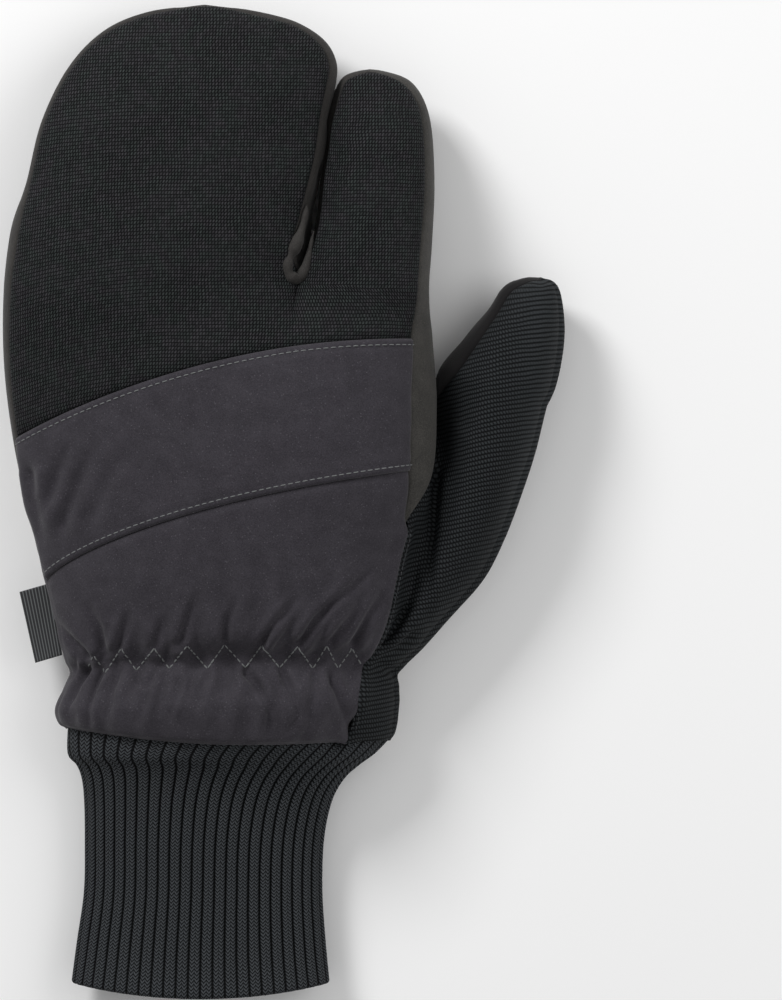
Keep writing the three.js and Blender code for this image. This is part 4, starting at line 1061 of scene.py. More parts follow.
# %% [markdown]
# ### Waffle knit
# The back is a firm knit of small cells: each is a short, slightly slanted bit of yarn that catches
# the light, in rows with dark lines and gaps between. Cells are cut from the cloth's coordinates.

# %% Waffle knit
CELL_WIDE, CELL_HIGH = 0.98 * MM, 1.13 * MM
f = Finish("waffle_knit")
across, upward = f.cloth_place()
place = f.object_place()
wander = f.noise(place, 0.011) - 0.5
column_place = across / CELL_WIDE + wander * 1.4
row_place = upward / CELL_HIGH + wander * 0.6
in_row = row_place.part() - 0.5
in_column = (column_place - in_row * 0.45).part() - 0.5
region = f.rise(f.noise(place, 0.016, 3), 0.35, 0.65)
bar = f.rise(abs(in_row), 0.3, 0.5, 1, 0.08)
gap = f.rise(abs(in_column), 0.14, 0.46, 1, 0)
yarn = bar * (gap * (0.78 + 0.22 * region) + (0.2 - 0.2 * region))
cell = f.add("ShaderNodeCombineXYZ", inputs={0: column_place.floor(), 1: row_place.floor()})
cell_noise = f.add("ShaderNodeTexWhiteNoise", {"noise_dimensions": "2D"}, {"Vector": cell})
fibre = f.noise(place, 0.00035, 2)
light = yarn * (0.55 + 0.45 * cell_noise) * (0.5 + 1.0 * fibre)
ground = f.blend(f.noise(place, 0.02), tone("020203"), tone("060608"))
tint = f.blend(f.rise(f.noise(place, 0.004, 2), 0.35, 0.65), tone("363538"), tone("323736"))
colour = f.blend(light, ground, tint)
height = (yarn * 0.32 + fibre * 0.05) * MM
waffle_knit = f.surface(colour, 0.8 - 0.15 * yarn, f.bump(height), Specular_IOR_Level=0.1)

# %% [markdown]
# ### Ribbed knit of the thumb and the side
# The same yarn, knitted in fine ribs across the thumb. They lean up towards the thumb's outer side.

# %% Side knit
RIB_ROW = 1.4 * MM
f = Finish("side_knit")
across, upward = f.cloth_place()
place = f.object_place()
wander = f.noise(place, 0.01) - 0.5
row_place = upward / RIB_ROW + wander * 0.7
in_row = row_place.part() - 0.5
in_column = (across / (0.95 * MM) + wander * 1.5 + in_row * 0.6).part() - 0.5
ridge = f.rise(abs(in_row), 0.15, 0.5, 1, 0)
outer = f.rise(across, 0.088, 0.1)  # towards the thumb's outer side the ribs are pulled smooth
bead = f.rise(abs(in_column), 0.15, 0.48, 1, 0) * (1 - 0.75 * outer) + 0.75 * outer
fibre = f.noise(place, 0.0003, 2)
light = ridge * bead * (0.4 + 1.2 * fibre)
colour = f.blend(light, tone("090a0b"), tone("2e3133"))
height = (ridge * (0.6 + 0.4 * bead) * 0.3 + fibre * 0.05) * MM
side_knit = f.surface(colour, 0.78 - 0.12 * ridge, f.bump(height), Specular_IOR_Level=0.1)


# %% [markdown]
# ### Softshell
# The band, the gauntlet and the strips along the fingers are softshell: a stretch cloth so fine that
# it looks even, with a dry surface that goes pale where it turns from the eye. Fine fibres and a
# faint mottling keep it from looking like plastic.

# %% Softshell, in two colours, and the side colour again darkened with painted shade
def softshell(name, dark, pale, fleck, sheen):
    f = Finish(name)
    place = f.object_place()
    fibre = f.noise(place, 0.00045, 4, 0.7)
    mottle = f.noise(place, 0.006, 3)
    share = (fibre - 0.5) * 1.8 + (mottle - 0.5) * 0.6 + 0.5
    cloth_colour = f.blend(f.rise(share, 0.1, 0.9), tone(dark), tone(pale))
    specks = f.add("ShaderNodeTexVoronoi", inputs={"Vector": place, "Scale": 1 / 0.0013})
    colour = f.blend(f.rise(specks, 0.03, 0.22, 0.34, 0), cloth_colour, tone(fleck))
    creases = f.noise(place, 0.0022, 3, 0.6)
    height = (fibre * 0.07 + creases * 0.12) * MM
    plain = {"Specular_IOR_Level": 0.25, "Sheen_Weight": sheen, "Sheen_Roughness": 0.5}
    return f.surface(colour, 0.72 + 0.2 * fibre, f.bump(height), **plain)


band_softshell = softshell("softshell", "232026", "37343a", "68656b", 0.1)
side_softshell = softshell("side_softshell", "2a2927", "43413e", "64615c", 0.08)
# The side softshell again, darker all over: painted shade for the outer side strip, the finger strip and
# the roll at the fork
side_softshell_painted_shade = softshell("side_softshell_painted_shade", "232120", "353331", "504e4b", 0.08)


# %% [markdown]
# ### Leather, nubuck and fleece
# The palm is white goatskin with a fine grain and soft creases. The fingertips have black nubuck,
# leather whose grain is sanded to a short nap, and the three-finger part has a patch of fleece.

# %% Leathers and fleece
def leather(name, dark, pale, grain, smoothness):
    f = Finish(name)
    place = f.object_place()
    grains = {"Vector": place, "Scale": 1 / grain}
    pores = f.add("ShaderNodeTexVoronoi", {"feature": "DISTANCE_TO_EDGE"}, grains)
    folds = {"Vector": place, "Scale": 90.0, "Detail": 5.0}
    creases = f.add("ShaderNodeTexNoise", {"noise_type": "RIDGED_MULTIFRACTAL"}, folds)
    wrinkles = f.rise(abs(f.noise(place, 0.016, 3, 0.6) - 0.5), 0.0, 0.07)
    mottle = f.noise(place, 0.02, 3)
    bumps = f.rise(pores, 0.0, 0.25)
    colour = f.blend(mottle * 0.6 + (1 - bumps) * 0.25 + (1 - wrinkles) * 0.3, tone(pale), tone(dark))
    height = (bumps * 0.05 + creases * 0.12 + wrinkles * 0.22) * MM
    return f.surface(colour, smoothness + 0.15 * mottle, f.bump(height), Specular_IOR_Level=0.4)


def napped(name, dark, pale, lump, depth):
    f = Finish(name)
    place = f.object_place()
    nap = f.noise(place, lump, 4, 0.65)
    mottle = f.noise(place, 0.014, 3)
    colour = f.blend(f.rise((nap + mottle) * 0.5, 0.3, 0.7), tone(dark), tone(pale))
    plain = {"Specular_IOR_Level": 0.15, "Sheen_Weight": 0.12, "Sheen_Roughness": 0.6}
    return f.surface(colour, 0.9 + 0.08 * nap, f.bump(nap * depth), **plain)


white_leather = leather("white_leather", "d3ccc7", "f2efec", 0.0011, 0.5)
black_leather = leather("black_leather", "0c0c0d", "19191b", 0.0010, 0.42)
nubuck = napped("nubuck", "0b0a0b", "151314", 0.0006, 0.12 * MM)
fleece = napped("fleece", "101317", "2a2f36", 0.0019, 0.6 * MM)

# %% [markdown]
# ### Rib knit, label and thread
# The cuff's ribs are real folds in its mesh, and each rib carries two columns of small V-shaped loops.
# The label is a fine plain weave with pale stripes, and both threads show the twist of their strands.

# %% Rib knit
COURSE = 1.09 * MM
RIB_COUNT = 46
f = Finish("rib_knit")
across, upward = f.cloth_place()  # across counts ribs, upward is in metres
place = f.object_place()
wander = f.noise(place, 0.003, 2) - 0.5
in_rib = across.part() - 0.5 + wander * 0.06
in_wale = abs((in_rib * 2.3).part() - 0.5)  # two columns of loops on each rib
loop = (upward / COURSE - in_wale * 1.8 + wander * 0.6).part() - 0.5
strand = f.rise(abs(loop), 0.16, 0.46, 1, 0)
crest = f.rise(abs(in_rib), 0.36, 0.46, 1, 0)
fibre = f.noise(place, 0.0003, 2)
light = strand * f.rise(in_wale, 0.36, 0.5, 1, 0.45) * crest * (0.5 + 1.0 * fibre)
colour = f.blend(light, tone("040506"), tone("3f4245"))
height = (strand * 0.24 + fibre * 0.05) * MM
rib_knit = f.surface(colour, 0.85 - 0.1 * strand, f.bump(height), Specular_IOR_Level=0.12)

# %% Woven label, and the two threads
f = Finish("woven_label")
across, upward = f.cloth_place()
place = f.object_place()
stripe = f.rise(abs((across / (0.95 * MM)).part() - 0.5), 0.28, 0.4)
weave = (upward / (0.45 * MM) * math.tau).sine() * (across / (0.45 * MM) * math.tau).sine()
colour = f.blend(stripe * (0.75 + 0.25 * weave), tone("1b1c1e"), tone("6d7072"))
woven_label = f.surface(colour, 0.6 + 0.1 * weave, f.bump(weave * 0.04 * MM), Specular_IOR_Level=0.4)


def thread(name, colour_name):
    f = Finish(name)
    place = f.object_place()
    twist = f.add("ShaderNodeTexWave", inputs={"Vector": place, "Scale": 900.0, "Distortion": 1.0})
    colour = f.blend(twist * 0.35, tone(colour_name), tone("303234"))
    return f.surface(colour, 0.55 + 0.1 * twist, f.bump(twist * 0.05 * MM), Specular_IOR_Level=0.5)


grey_thread = thread("grey_thread", "6c6e6e")
dark_thread = thread("dark_thread", "26282b")
print(len(bpy.data.materials), "materials")

# %% [markdown]
# ## Panels
# Each panel is the skin between its seams, raised by its relief. Its wall is built in code: the same
# faces again a little further in, and a narrow strip along each open edge. That closes the panel, and
# the wall can be thin at the fingertips, where three panels meet and where the mitt itself is thin.

# %% Panels of shell cloth and leather
WALL = {"knuckle_band": 1.6, "hand_back": 2.4}  # mm
WALL_ELSEWHERE = 2.0
WALL_SHARE = 0.35  # of the room inside
PANELS = {
    "hand_back": (waffle_knit, "waffle_knit"),
    "thumb_back": (side_knit, "side_knit"),
    "knuckle_band": (band_softshell, "softshell"),
    "gauntlet": (band_softshell, "softshell"),
    # These two strips take the side softshell darkened with painted shade
    "outer_side_wall": (side_softshell_painted_shade, "side_softshell"),
    "finger_gusset": (side_softshell_painted_shade, "side_softshell"),
    "index_side_wall": (side_softshell, "side_softshell"),
    "palm_leather": (white_leather, "white_leather"),
    "finger_leather": (white_leather, "white_leather"),
    "flex_strip": (black_leather, "black_leather"),
    "index_patch": (nubuck, "nubuck"),
    "thumb_patch": (nubuck, "nubuck"),
    "mitten_patch": (fleece, "fleece"),
}
pieces = {}
dressed = {}


def smoothed(mesh):
    mesh.polygons.foreach_set("use_smooth", [True] * len(mesh.polygons))
    return mesh


def mesh_from(name, points, faces, cloth=None, material=None):
    mesh = bpy.data.meshes.new(name)
    mesh.from_pydata(points.tolist(), [], faces)
    if cloth is not None:
        layer = mesh.uv_layers.new(name="cloth")
        layer.data.foreach_set("uv", np.asarray(cloth, np.float32).reshape(-1))
    mesh.materials.append(material)
    mesh.update()
    piece = bpy.data.objects.new(name, smoothed(mesh))
    bpy.context.collection.objects.link(piece)
    return piece


def applied(piece):
    """The piece with its modifiers worked into a plain mesh"""
    graph = bpy.context.evaluated_depsgraph_get()
    mesh = bpy.data.meshes.new_from_object(piece.evaluated_get(graph))
    piece.modifiers.clear()
    piece.data = smoothed(mesh)
    return piece


def walled(piece, thickness):
    solidify = piece.modifiers.new("wall", "SOLIDIFY")
    solidify.thickness = thickness
    solidify.offset = -1
    return applied(piece)


RESTS_AT, GIVES = 0.35 * MM, 0.5 * MM


def resting(points):
    """The underside rests on the table: what would sink below it is flattened smoothly"""
    level = points[:, 2] - RESTS_AT
    flattened = GIVES * np.exp(np.minimum(level, GIVES) / GIVES - 1)
    points[:, 2] = RESTS_AT + np.where(level < GIVES, flattened, level)
    return points


def without_repeats(ring, corners):
    keep = [k for k in range(4) if ring[k] != ring[k - 1]]
    return [ring[k] for k in keep], [corners[k] for k in keep]


def open_edges(rings):
    """The edges that only one face has, each with its two corners' places in the list of corners"""
    used, at = {}, 0
    for ring in rings:
        for k, v in enumerate(ring):
            after = (k + 1) % len(ring)
            used[v, ring[after]] = (at + k, at + after)
        at += len(ring)
    return [(a, b, *places) for (a, b), places in used.items() if (b, a) not in used]


def with_wall(points, rings, corners, ways, thickness):
    """The panel with the same faces again inside it, turned round, and a strip along each open edge"""
    n = len(points)
    inside = points - ways * thickness[:, None]
    all_rings, all_corners, at = list(rings), list(corners), 0
    for ring in rings:
        all_rings.append([v + n for v in ring[::-1]])
        all_corners.extend(corners[at : at + len(ring)][::-1])
        at += len(ring)
    for a, b, place_a, place_b in open_edges(rings):
        all_rings.append([a, a + n, b + n, b])
        all_corners.extend([corners[place_a]] * 2 + [corners[place_b]] * 2)
    return np.concatenate([points, inside]), all_rings, all_corners


# %% The outer faces of every panel
panel_corners = {}
for name in PANELS:
    ids = members[name]
    place_of = np.full(len(skin), -1)
    place_of[ids] = np.arange(len(ids))
    points = resting(skin[ids] + outward[ids] * relief[name][:, None])
    rings, corners = [], []
    for s in sheets.values():
        if s["panel"] != name:
            continue
        flat = s["cloth"].reshape(-1, 2)
        numbers = quads(np.arange(s["ids"].size).reshape(s["ids"].shape), s["facing"])
        for ring, number in zip(place_of[s["faces"]].tolist(), numbers.tolist()):
            ring, number = without_repeats(ring, number)
            if len(ring) > 2:
                rings.append(ring)
                corners.extend(flat[number])
    dressed[name] = (points, rings)
    panel_corners[name] = corners
print(sum(len(points) for points, _ in dressed.values()), "points on the outside")

# %% One search tree of all the outer faces
points, faces, start = [], [], 0
for panel_points, panel_rings in dressed.values():
    points.append(panel_points)
    faces.extend([[v + start for v in ring] for ring in panel_rings])
    start += len(panel_points)
surface = BVHTree.FromPolygons(np.concatenate(points).tolist(), faces)


FAR = 12 * MM  # there is no need to look further


def room_inside(points, ways):
    """How far it is from each point, straight in, to the far side of the mitt"""
    rooms = []
    for point, way in zip(points, ways):
        hit = surface.ray_cast(Vector(point - way * 0.2 * MM), Vector(-way), FAR)
        rooms.append(FAR if hit[0] is None else hit[3])
    return np.array(rooms)


# %% Panels with their walls, which are thinner where three panels meet
three_meet = skin[sharing > 2]
for name, (material, _) in PANELS.items():
    ways = outward[members[name]]
    points, rings = dressed[name]
    full_wall = WALL.get(name, WALL_ELSEWHERE) * MM * np.clip(calm[name], 0.1, 1)
    wall = np.minimum(full_wall, WALL_SHARE * room_inside(points, ways))
    wall *= np.clip(nearest(points, three_meet) / (5 * MM), 0.1, 1)
    closed_panel = with_wall(points, rings, panel_corners[name], ways, wall)
    pieces[name] = mesh_from(name, *closed_panel, material)
print({name: len(piece.data.polygons) for name, piece in pieces.items()})

# %% [markdown]
# ## The rolled end of the finger strip
# Where the strip between the two finger parts turns at the fork, its folded edge stands up as a soft,
# lumpy roll. It comes down beside the three-finger part, turns round the fork and goes a little way
# up the index finger. A tube along a smooth path does this best, with its radius changed by noise.

# %% A soft roll along a path
ROLL_SIDES = 14
UP = np.array([0.0, 0.0, 1.0])


def rolled(name, path, radii, material):
    """A closed roll round a path, its ends drawn to a point"""
    ahead = unit(np.gradient(path, axis=0))
    sideways = unit(np.cross(UP, ahead))
    raised = np.cross(ahead, sideways)
    turn = (np.arange(ROLL_SIDES) * math.tau / ROLL_SIDES)[None, :, None]
    ring = sideways[:, None] * np.cos(turn) + raised[:, None] * np.sin(turn)
    points = path[:, None] + ring * radii[:, None, None]
    count = len(path)
    ids = np.arange(count * ROLL_SIDES).reshape(count, ROLL_SIDES)
    faces = quads(np.concatenate([ids, ids[:, :1]], 1), -1).tolist()
    ends = [count * ROLL_SIDES, count * ROLL_SIDES + 1]
    for k in range(ROLL_SIDES):
        after = (k + 1) % ROLL_SIDES
        faces.append([ends[0], int(ids[0, after]), int(ids[0, k])])
        faces.append([ends[1], int(ids[-1, k]), int(ids[-1, after])])
    points = np.concatenate([points.reshape(-1, 3), path[:1], path[-1:]])
    pieces[name] = mesh_from(name, points, [ring[::-1] for ring in faces], material=material)


# %% Lay the roll on the cloth round the fork
ROLL_PATH = [  # on the photographed back, with the radius in mm
    (307, 206, 0.9), (304, 222, 1.2), (300, 236, 1.5), (295, 248, 1.7), (290.5, 258, 1.7), (288, 267, 1.7),
    (289.5, 275, 1.8), (295, 279.5, 1.9), (301, 277.5, 1.6), (305.5, 270, 1.2), (308.5, 259, 0.9),
    (311, 246, 0.7), (314, 232, 0.5),
]
roll_places = np.linspace(0, len(ROLL_PATH) - 1, 130)
flat_path = np.array([px(x, y) for x, y, _ in ROLL_PATH])
roll_path = np.stack([along(flat_path[:, 0], roll_places), along(flat_path[:, 1], roll_places)], 1)
knit_top = dressed["hand_back"][0]
tree = tree_of(knit_top * [1, 1, 0])
heights = np.array([max(knit_top[i, 2] for _, i, _ in tree.find_n((x, y, 0), 5)) for x, y in roll_path])
for _ in range(30):
    heights[1:-1] = (heights[:-2] + 2 * heights[1:-1] + heights[2:]) / 4
radii = along([r for _, _, r in ROLL_PATH], roll_places) * MM
t = np.linspace(0, 1, len(roll_path))
sunk = 0.1 * radii + 1.8 * MM * bell(t, 0.25) + 1.2 * MM * bell(1 - t, 0.15)  # most at both ends
heights -= sunk
roll_path = np.concatenate([roll_path, heights[:, None]], 1)
lumps = 1 + 0.7 * wavy(roll_path, 0.004, seed=2.6)
radii *= lumps * np.sqrt(np.clip(np.minimum(t, 1 - t) * 9, 0.02, 1))
# The roll takes the side softshell darkened with painted shade
rolled("strip_roll", roll_path, np.maximum(radii, 0.25 * MM), side_softshell_painted_shade)
print("roll of", len(roll_path), "rings round the fork")

# %% [markdown]
# ## Cuff
# The cuff is a tube of rib knit, 46 ribs round. It hangs from the hem, draws in at the wrist and
# ends in a soft fold. Its rings are spread evenly, so that the ribs run down it without crossing.

# %% Rings of the cuff
CUFF_LENGTH = 80.0
CUFF_WAIST = 75.0
CUFF_THICKNESS = 21.0
CUFF_MIDDLE = -5.0
CUFF_SIDE_UP = 0.42
CUFF_FLAT = 0.6
RIB_DEPTH = 0.95
RIB_STEPS = 10
CUFF_ROWS = [  # y, left, right, up, bow, rib
    (0.06, -1.133, 1.43, 1.4, 0.01, 0.4),
    (0.105, -1.059, 1.3, 1.26, 0.01, 0.8),
    (0.16, -1.016, 1.173, 1.15, 0.01, 1),
    (0.25, -0.997, 1.07, 1.06, 0.01, 1),
    (0.4, -0.992, 1.005, 1, 0.01, 1),
    (0.6, -1, 0.992, 0.97, 0.015, 1),
    (0.8, -1.06, 1.02, 1, 0.03, 1),
    (0.945, -1.1, 1.05, 1.08, 0.055, 0.55),
]
half_ring = RIB_COUNT * RIB_STEPS // 2


def run_along(line):
    """How far each point of a line is from its start, measured along it"""
    return np.concatenate([[0], np.cumsum(np.linalg.norm(np.diff(line, axis=0), axis=1))])


def spread(line, count):
    run = run_along(line)
    goals = run[-1] * np.arange(count) / count
    return np.stack([np.interp(goals, run, line[:, k]) for k in range(3)], 1)


def cuff_ring(y, left, right, up, bow):
    height = up * CUFF_THICKNESS
    side = CUFF_SIDE_UP * height
    u = (1 - np.cos(np.linspace(0, np.pi, 161))) / 2
    end = np.maximum(0, (np.abs(2 * u - 1) - CUFF_FLAT) / (1 - CUFF_FLAT))
    hang = -CUFF_LENGTH * (y + bow * 4 * u * (1 - u))
    x = CUFF_MIDDLE + mix(left, right, u) * CUFF_WAIST / 2
    over = np.stack([x, hang, side + (height - side) * dome(u)], 1)
    under = np.stack([x, hang, side * (1 - np.sqrt(np.maximum(0, 1 - end**2)))], 1)[::-1]
    return np.concatenate([spread(over, half_ring), spread(under, half_ring)])


# %% The hem as the cuff's first ring
INSIDE_PANELS, TUCKED_UP = 2.0, 1.2  # mm


def hem_line():
    over = np.concatenate([sheets["gauntlet"]["ids"][0], sheets["thumb"]["ids"][0, 1:]])
    wall = sheets["thumb_outer_wall"]["ids"][0]
    under = np.concatenate([sheets["palm_of_thumb"]["ids"][0, ::-1], sheets["palm"]["ids"][0, ::-1][1:]])
    heel = sheets["heel_wall"]["ids"][0][::-1]
    ring = np.concatenate([over, wall[1:], under[1:], heel[1:]])
    points = skin[ring] / MM - shift - outward[ring] * INSIDE_PANELS
    points = np.roll(points[:-1], -points[:, 0].argmin(), axis=0)
    points = np.concatenate([points, points[:1]])
    right = points[:, 0].argmax()
    points[:, 1] += TUCKED_UP
    return np.concatenate([spread(points[: right + 1], half_ring), spread(points[right:], half_ring)])


key_rings = [hem_line()] + [cuff_ring(*values[:5]) for values in CUFF_ROWS]
key_ribs = [0.0] + [values[5] for values in CUFF_ROWS]
ring_place = steps([5, 4, 5, 7, 10, 13, 13, 9])
count = len(key_rings[0])
key_rings = np.array(key_rings)
rings = np.stack([[along(key_rings[:, j, k], ring_place) for j in range(count)] for k in range(3)], -1)
rings = rings.transpose(1, 0, 2)
print(rings.shape, "points of the cuff")

# %% Ribs, the rounded mouth and the wall
along_ring = np.roll(rings, -1, axis=1) - np.roll(rings, 1, axis=1)
along_ring[..., 1] = 0
along_ring /= np.linalg.norm(along_ring, axis=2, keepdims=True)
inward = np.stack([along_ring[..., 2], 0 * along_ring[..., 0], -along_ring[..., 0]], -1)
phase = np.arange(count) / RIB_STEPS
fall = (0.5 - 0.5 * np.cos(math.tau * phase)) ** 4.5
rib = np.clip(along_level(key_ribs, ring_place), 0, 1)
rings = rings + inward * (fall[None, :] * rib[:, None] * RIB_DEPTH)[..., None]
LIP_ROUND = 1.3
mouth = []
for turn in np.linspace(0, np.pi / 2, 6)[1:]:
    lip = rings[-1] + inward[-1] * LIP_ROUND * (1 - math.cos(turn))
    lip[:, 1] -= LIP_ROUND * math.sin(turn)
    mouth.append(lip)
rings = np.concatenate([rings, mouth])
down = run_along(rings.mean(1))
ids = np.arange(rings.shape[0] * count).reshape(rings.shape[0], count)
closed_ids = np.concatenate([ids, ids[:, :1]], 1)
ribs_across = np.arange(count + 1) / RIB_STEPS + 0.5
cuff_cloth = np.stack(np.meshgrid(ribs_across, -down * MM), -1)
numbers = quads(np.arange(cuff_cloth[..., 0].size).reshape(cuff_cloth.shape[:2]), -1)
faces = quads(closed_ids, -1).tolist()
points = resting((rings.reshape(-1, 3) + shift) * MM)
cuff = mesh_from("knit_cuff", points, faces, cuff_cloth.reshape(-1, 2)[numbers.reshape(-1)], rib_knit)
pieces["knit_cuff"] = walled(cuff, 1.6 * MM)
PANELS["knit_cuff"] = (rib_knit, "rib_knit")
print("cuff", len(cuff.data.polygons), "faces")

# %% [markdown]
# ## A surface to sew on
# Stitches have to lie on the fabric. A ray cast down on the outer faces, or up for the palm, finds
# where a point of the stitch plan lands.


# %% Where a point of the plan lands
def landed(x, y, down=True):
    origin = Vector((x, y, 0.2 if down else -0.2))
    hit, normal, _, _ = surface.ray_cast(origin, Vector((0, 0, -1 if down else 1)))
    return hit, normal


LINE_STEP = 0.4 * MM


def on_surface(a, b, down=True):
    """A line from a to b, laid on the fabric: its points and their outward directions"""
    line, up = [], []
    count = max(1, int(np.linalg.norm(b - a) / LINE_STEP))
    for place in [mix(a, b, k / count) for k in range(count)] + [b]:
        hit, normal = landed(*place, down)
        if hit is not None:
            line.append(hit)
            up.append(normal if (normal.z > 0) == down else -normal)
    return line, up


# %% [markdown]
# ## Stitches
# A lockstitch shows as a row of short, slightly arched bits of thread with small gaps. That is a
# thing that repeats along a path, so Geometry Nodes make it: the path is cut into equal steps, and
# each step gets a little tube that dives into the cloth at both ends.

# %% A tree that sews along a line
def stitch_tree(material):
    tree = bpy.data.node_groups.new("sew_" + material.name, "GeometryNodeTree")
    tree.interface.new_socket("Line", in_out="INPUT", socket_type="NodeSocketGeometry")
    sizes = {"Pitch": 2.5 * MM, "Length": 1.9 * MM, "Thread": 0.5 * MM, "Arch": 0.35 * MM}
    for name, value in sizes.items():
        socket = tree.interface.new_socket(name, in_out="INPUT", socket_type="NodeSocketFloat")
        socket.default_value = value
    tree.interface.new_socket("Stitches", in_out="OUTPUT", socket_type="NodeSocketGeometry")

    def node(kind, links=None, **settings):
        made = tree.nodes.new(kind)
        for key, value in settings.items():
            setattr(made, key, value)
        for key, value in (links or {}).items():
            if isinstance(value, bpy.types.NodeSocket):
                tree.links.new(value, made.inputs[key])
            else:
                made.inputs[key].default_value = value
        return made

    def maths(operation, a, b):
        return node("ShaderNodeMath", {0: a, 1: b}, operation=operation).outputs[0]

    given = node("NodeGroupInput").outputs
    curve = node("GeometryNodeMeshToCurve", {"Mesh": given["Line"]}).outputs[0]
    evenly = {"Curve": curve, "Length": given["Pitch"]}
    even = node("GeometryNodeResampleCurve", evenly, mode="LENGTH").outputs[0]
    half = maths("MULTIPLY", given["Length"], 0.5)
    deep = maths("MULTIPLY", given["Thread"], -0.6)
    back = node("ShaderNodeCombineXYZ", {0: maths("MULTIPLY", half, -1.0), 2: deep}).outputs[0]
    front = node("ShaderNodeCombineXYZ", {0: half, 2: deep}).outputs[0]
    middle = node("ShaderNodeCombineXYZ", {2: given["Arch"]}).outputs[0]
    arch_inputs = {"Resolution": 5, "Start": back, "Middle": middle, "End": front}
    bit = node("GeometryNodeCurveQuadraticBezier", arch_inputs).outputs[0]
    radius = maths("MULTIPLY", given["Thread"], 0.5)
    ring = node("GeometryNodeCurvePrimitiveCircle", {"Resolution": 6, "Radius": radius}).outputs[0]
    tube_inputs = {"Curve": bit, "Profile Curve": ring, "Fill Caps": True}
    tube = node("GeometryNodeCurveToMesh", tube_inputs).outputs[0]
    up = node("GeometryNodeInputNamedAttribute", {"Name": "up"}, data_type="FLOAT_VECTOR").outputs[0]
    way = node("GeometryNodeInputTangent").outputs[0]
    axes = {"primary_axis": "Z", "secondary_axis": "X"}
    turn = node("FunctionNodeAxesToRotation", {0: up, 1: way}, **axes).outputs[0]
    places = {"Points": even, "Instance": tube, "Rotation": turn}
    placed = node("GeometryNodeInstanceOnPoints", places).outputs[0]
    real = node("GeometryNodeRealizeInstances", {0: placed}).outputs[0]
    done = node("GeometryNodeSetMaterial", {"Geometry": real, "Material": material}).outputs[0]
    node("NodeGroupOutput", {0: done})
    return tree


sewing = {"grey": stitch_tree(grey_thread), "dark": stitch_tree(dark_thread)}


def sew(name, lines, thread_name="grey", **sizes):
    """Stitches along several lines of (points, outward directions), as one piece"""
    points, edges, ups = [], [], []
    for line, up in lines:
        edges.extend([len(points) + k, len(points) + k + 1] for k in range(len(line) - 1))
        points.extend(line)
        ups.extend(up)
    mesh = bpy.data.meshes.new(name)
    mesh.from_pydata([tuple(p) for p in points], edges, [])
    attribute = mesh.attributes.new("up", "FLOAT_VECTOR", "POINT")
    attribute.data.foreach_set("vector", np.array([tuple(v) for v in ups], np.float32).reshape(-1))
    piece = bpy.data.objects.new(name, mesh)
    bpy.context.collection.objects.link(piece)
    tree = sewing[thread_name]
    modifier = piece.modifiers.new("stitches", "NODES")
    modifier.node_group = tree
    for item in tree.interface.items_tree:
        if item.name in sizes:
            modifier[item.identifier] = sizes[item.name]
    pieces[name] = applied(piece)
    print(name, len(piece.data.polygons), "faces")


# %% Lines parallel to a seam of a sheet
def dressed_grid(name):
    """The points of a sheet after its relief, and their outward directions"""
    ids, panel = sheets[name]["ids"], sheets[name]["panel"]
    return dressed[panel][0][np.searchsorted(members[panel], ids)], outward[ids]


def set_in(lines, line_ways, distance):
    """The place at this distance along each line, and its outward direction there"""
    places, up = [], []
    for line, ways in zip(lines, line_ways):
        run = run_along(line)
        places.append(Vector([np.interp(distance, run, line[:, k]) for k in range(3)]))
        up.append(Vector([np.interp(distance, run, ways[:, k]) for k in range(3)]).normalized())
    return places, up


def beside(name, side, distance):
    """A line at this distance inside the first row (side 1) or the last row (side -1) of a sheet"""
    grid, ways = dressed_grid(name)
    return set_in(grid[::side].swapaxes(0, 1), ways[::side].swapaxes(0, 1), distance)


def down_the_side(name, distance, first_row, last_row):
    """A line at this distance inside the first column of a sheet, from one row to another"""
    grid, ways = dressed_grid(name)
    r = sheets[name]["r"][:, 0]
    chosen = (r >= first_row) & (r <= last_row)
    return set_in(grid[chosen], ways[chosen], distance)


# %% Stitching on the back
band_rows = [beside("band", side, 2.2 * MM) for side in (-1, 1)]
sew("band_stitching", band_rows, Pitch=2.3 * MM, Length=1.75 * MM, Thread=0.4 * MM)
ZIGZAG = [  # a low and a high corner in turn, on the photographed back
    (88, 668), (94, 655), (106, 672), (122, 648), (137, 670), (155, 648), (170, 668), (188, 645),
    (208, 668), (225, 644), (246, 667), (262, 645), (280, 667), (298, 646), (313, 668), (327, 645),
    (338, 668), (352, 648), (361, 664),
]
zigzag = [px(*corner) for corner in ZIGZAG]


def legs(corners, pitch, down=True):
    """Each leg of a zigzag, shortened so that a whole number of stitches fills it"""
    lines = []
    for a, b in zip(corners[:-1], corners[1:]):
        half = 0.5 / max(2, round(np.linalg.norm(b - a) / pitch))
        lines.append(on_surface(mix(a, b, half), mix(a, b, 1 - half), down))
    return lines


sew("zigzag_stitching", legs(zigzag, 1.9 * MM), Pitch=1.85 * MM, Length=1.75 * MM, Thread=0.5 * MM)
seam_rows = [down_the_side("thumb", distance * MM, 0.4, 4) for distance in (1.3, 2.7)]
sew("side_topstitching", seam_rows, "dark", Pitch=1.7 * MM, Length=1.35 * MM, Thread=0.36 * MM)

# %% Stitching on the palm
palm_line = [np.array([-0.066 + 0.00625 * k, -0.0505 + (0.0062 if k % 2 else 0)]) for k in range(19)]
palm_legs = legs(palm_line, 2.1 * MM, down=False)
sew("palm_zigzag", palm_legs, "dark", Pitch=2.05 * MM, Length=1.9 * MM, Thread=0.36 * MM)
patches = ("mitten_root", "index_root", "thumb_palm")
patch_rows = [beside(name, 1, distance * MM) for name in patches for distance in (1.2, 3.2)]
sew("patch_stitching", patch_rows, "dark", Pitch=2.2 * MM, Length=1.7 * MM, Thread=0.34 * MM)

# %% [markdown]
# ## Label
# A woven label is a narrow ribbon, caught in the side seam by one edge. The free edge waves a little.
# It is a small grid between four corners, and its coordinates measure the real ribbon.

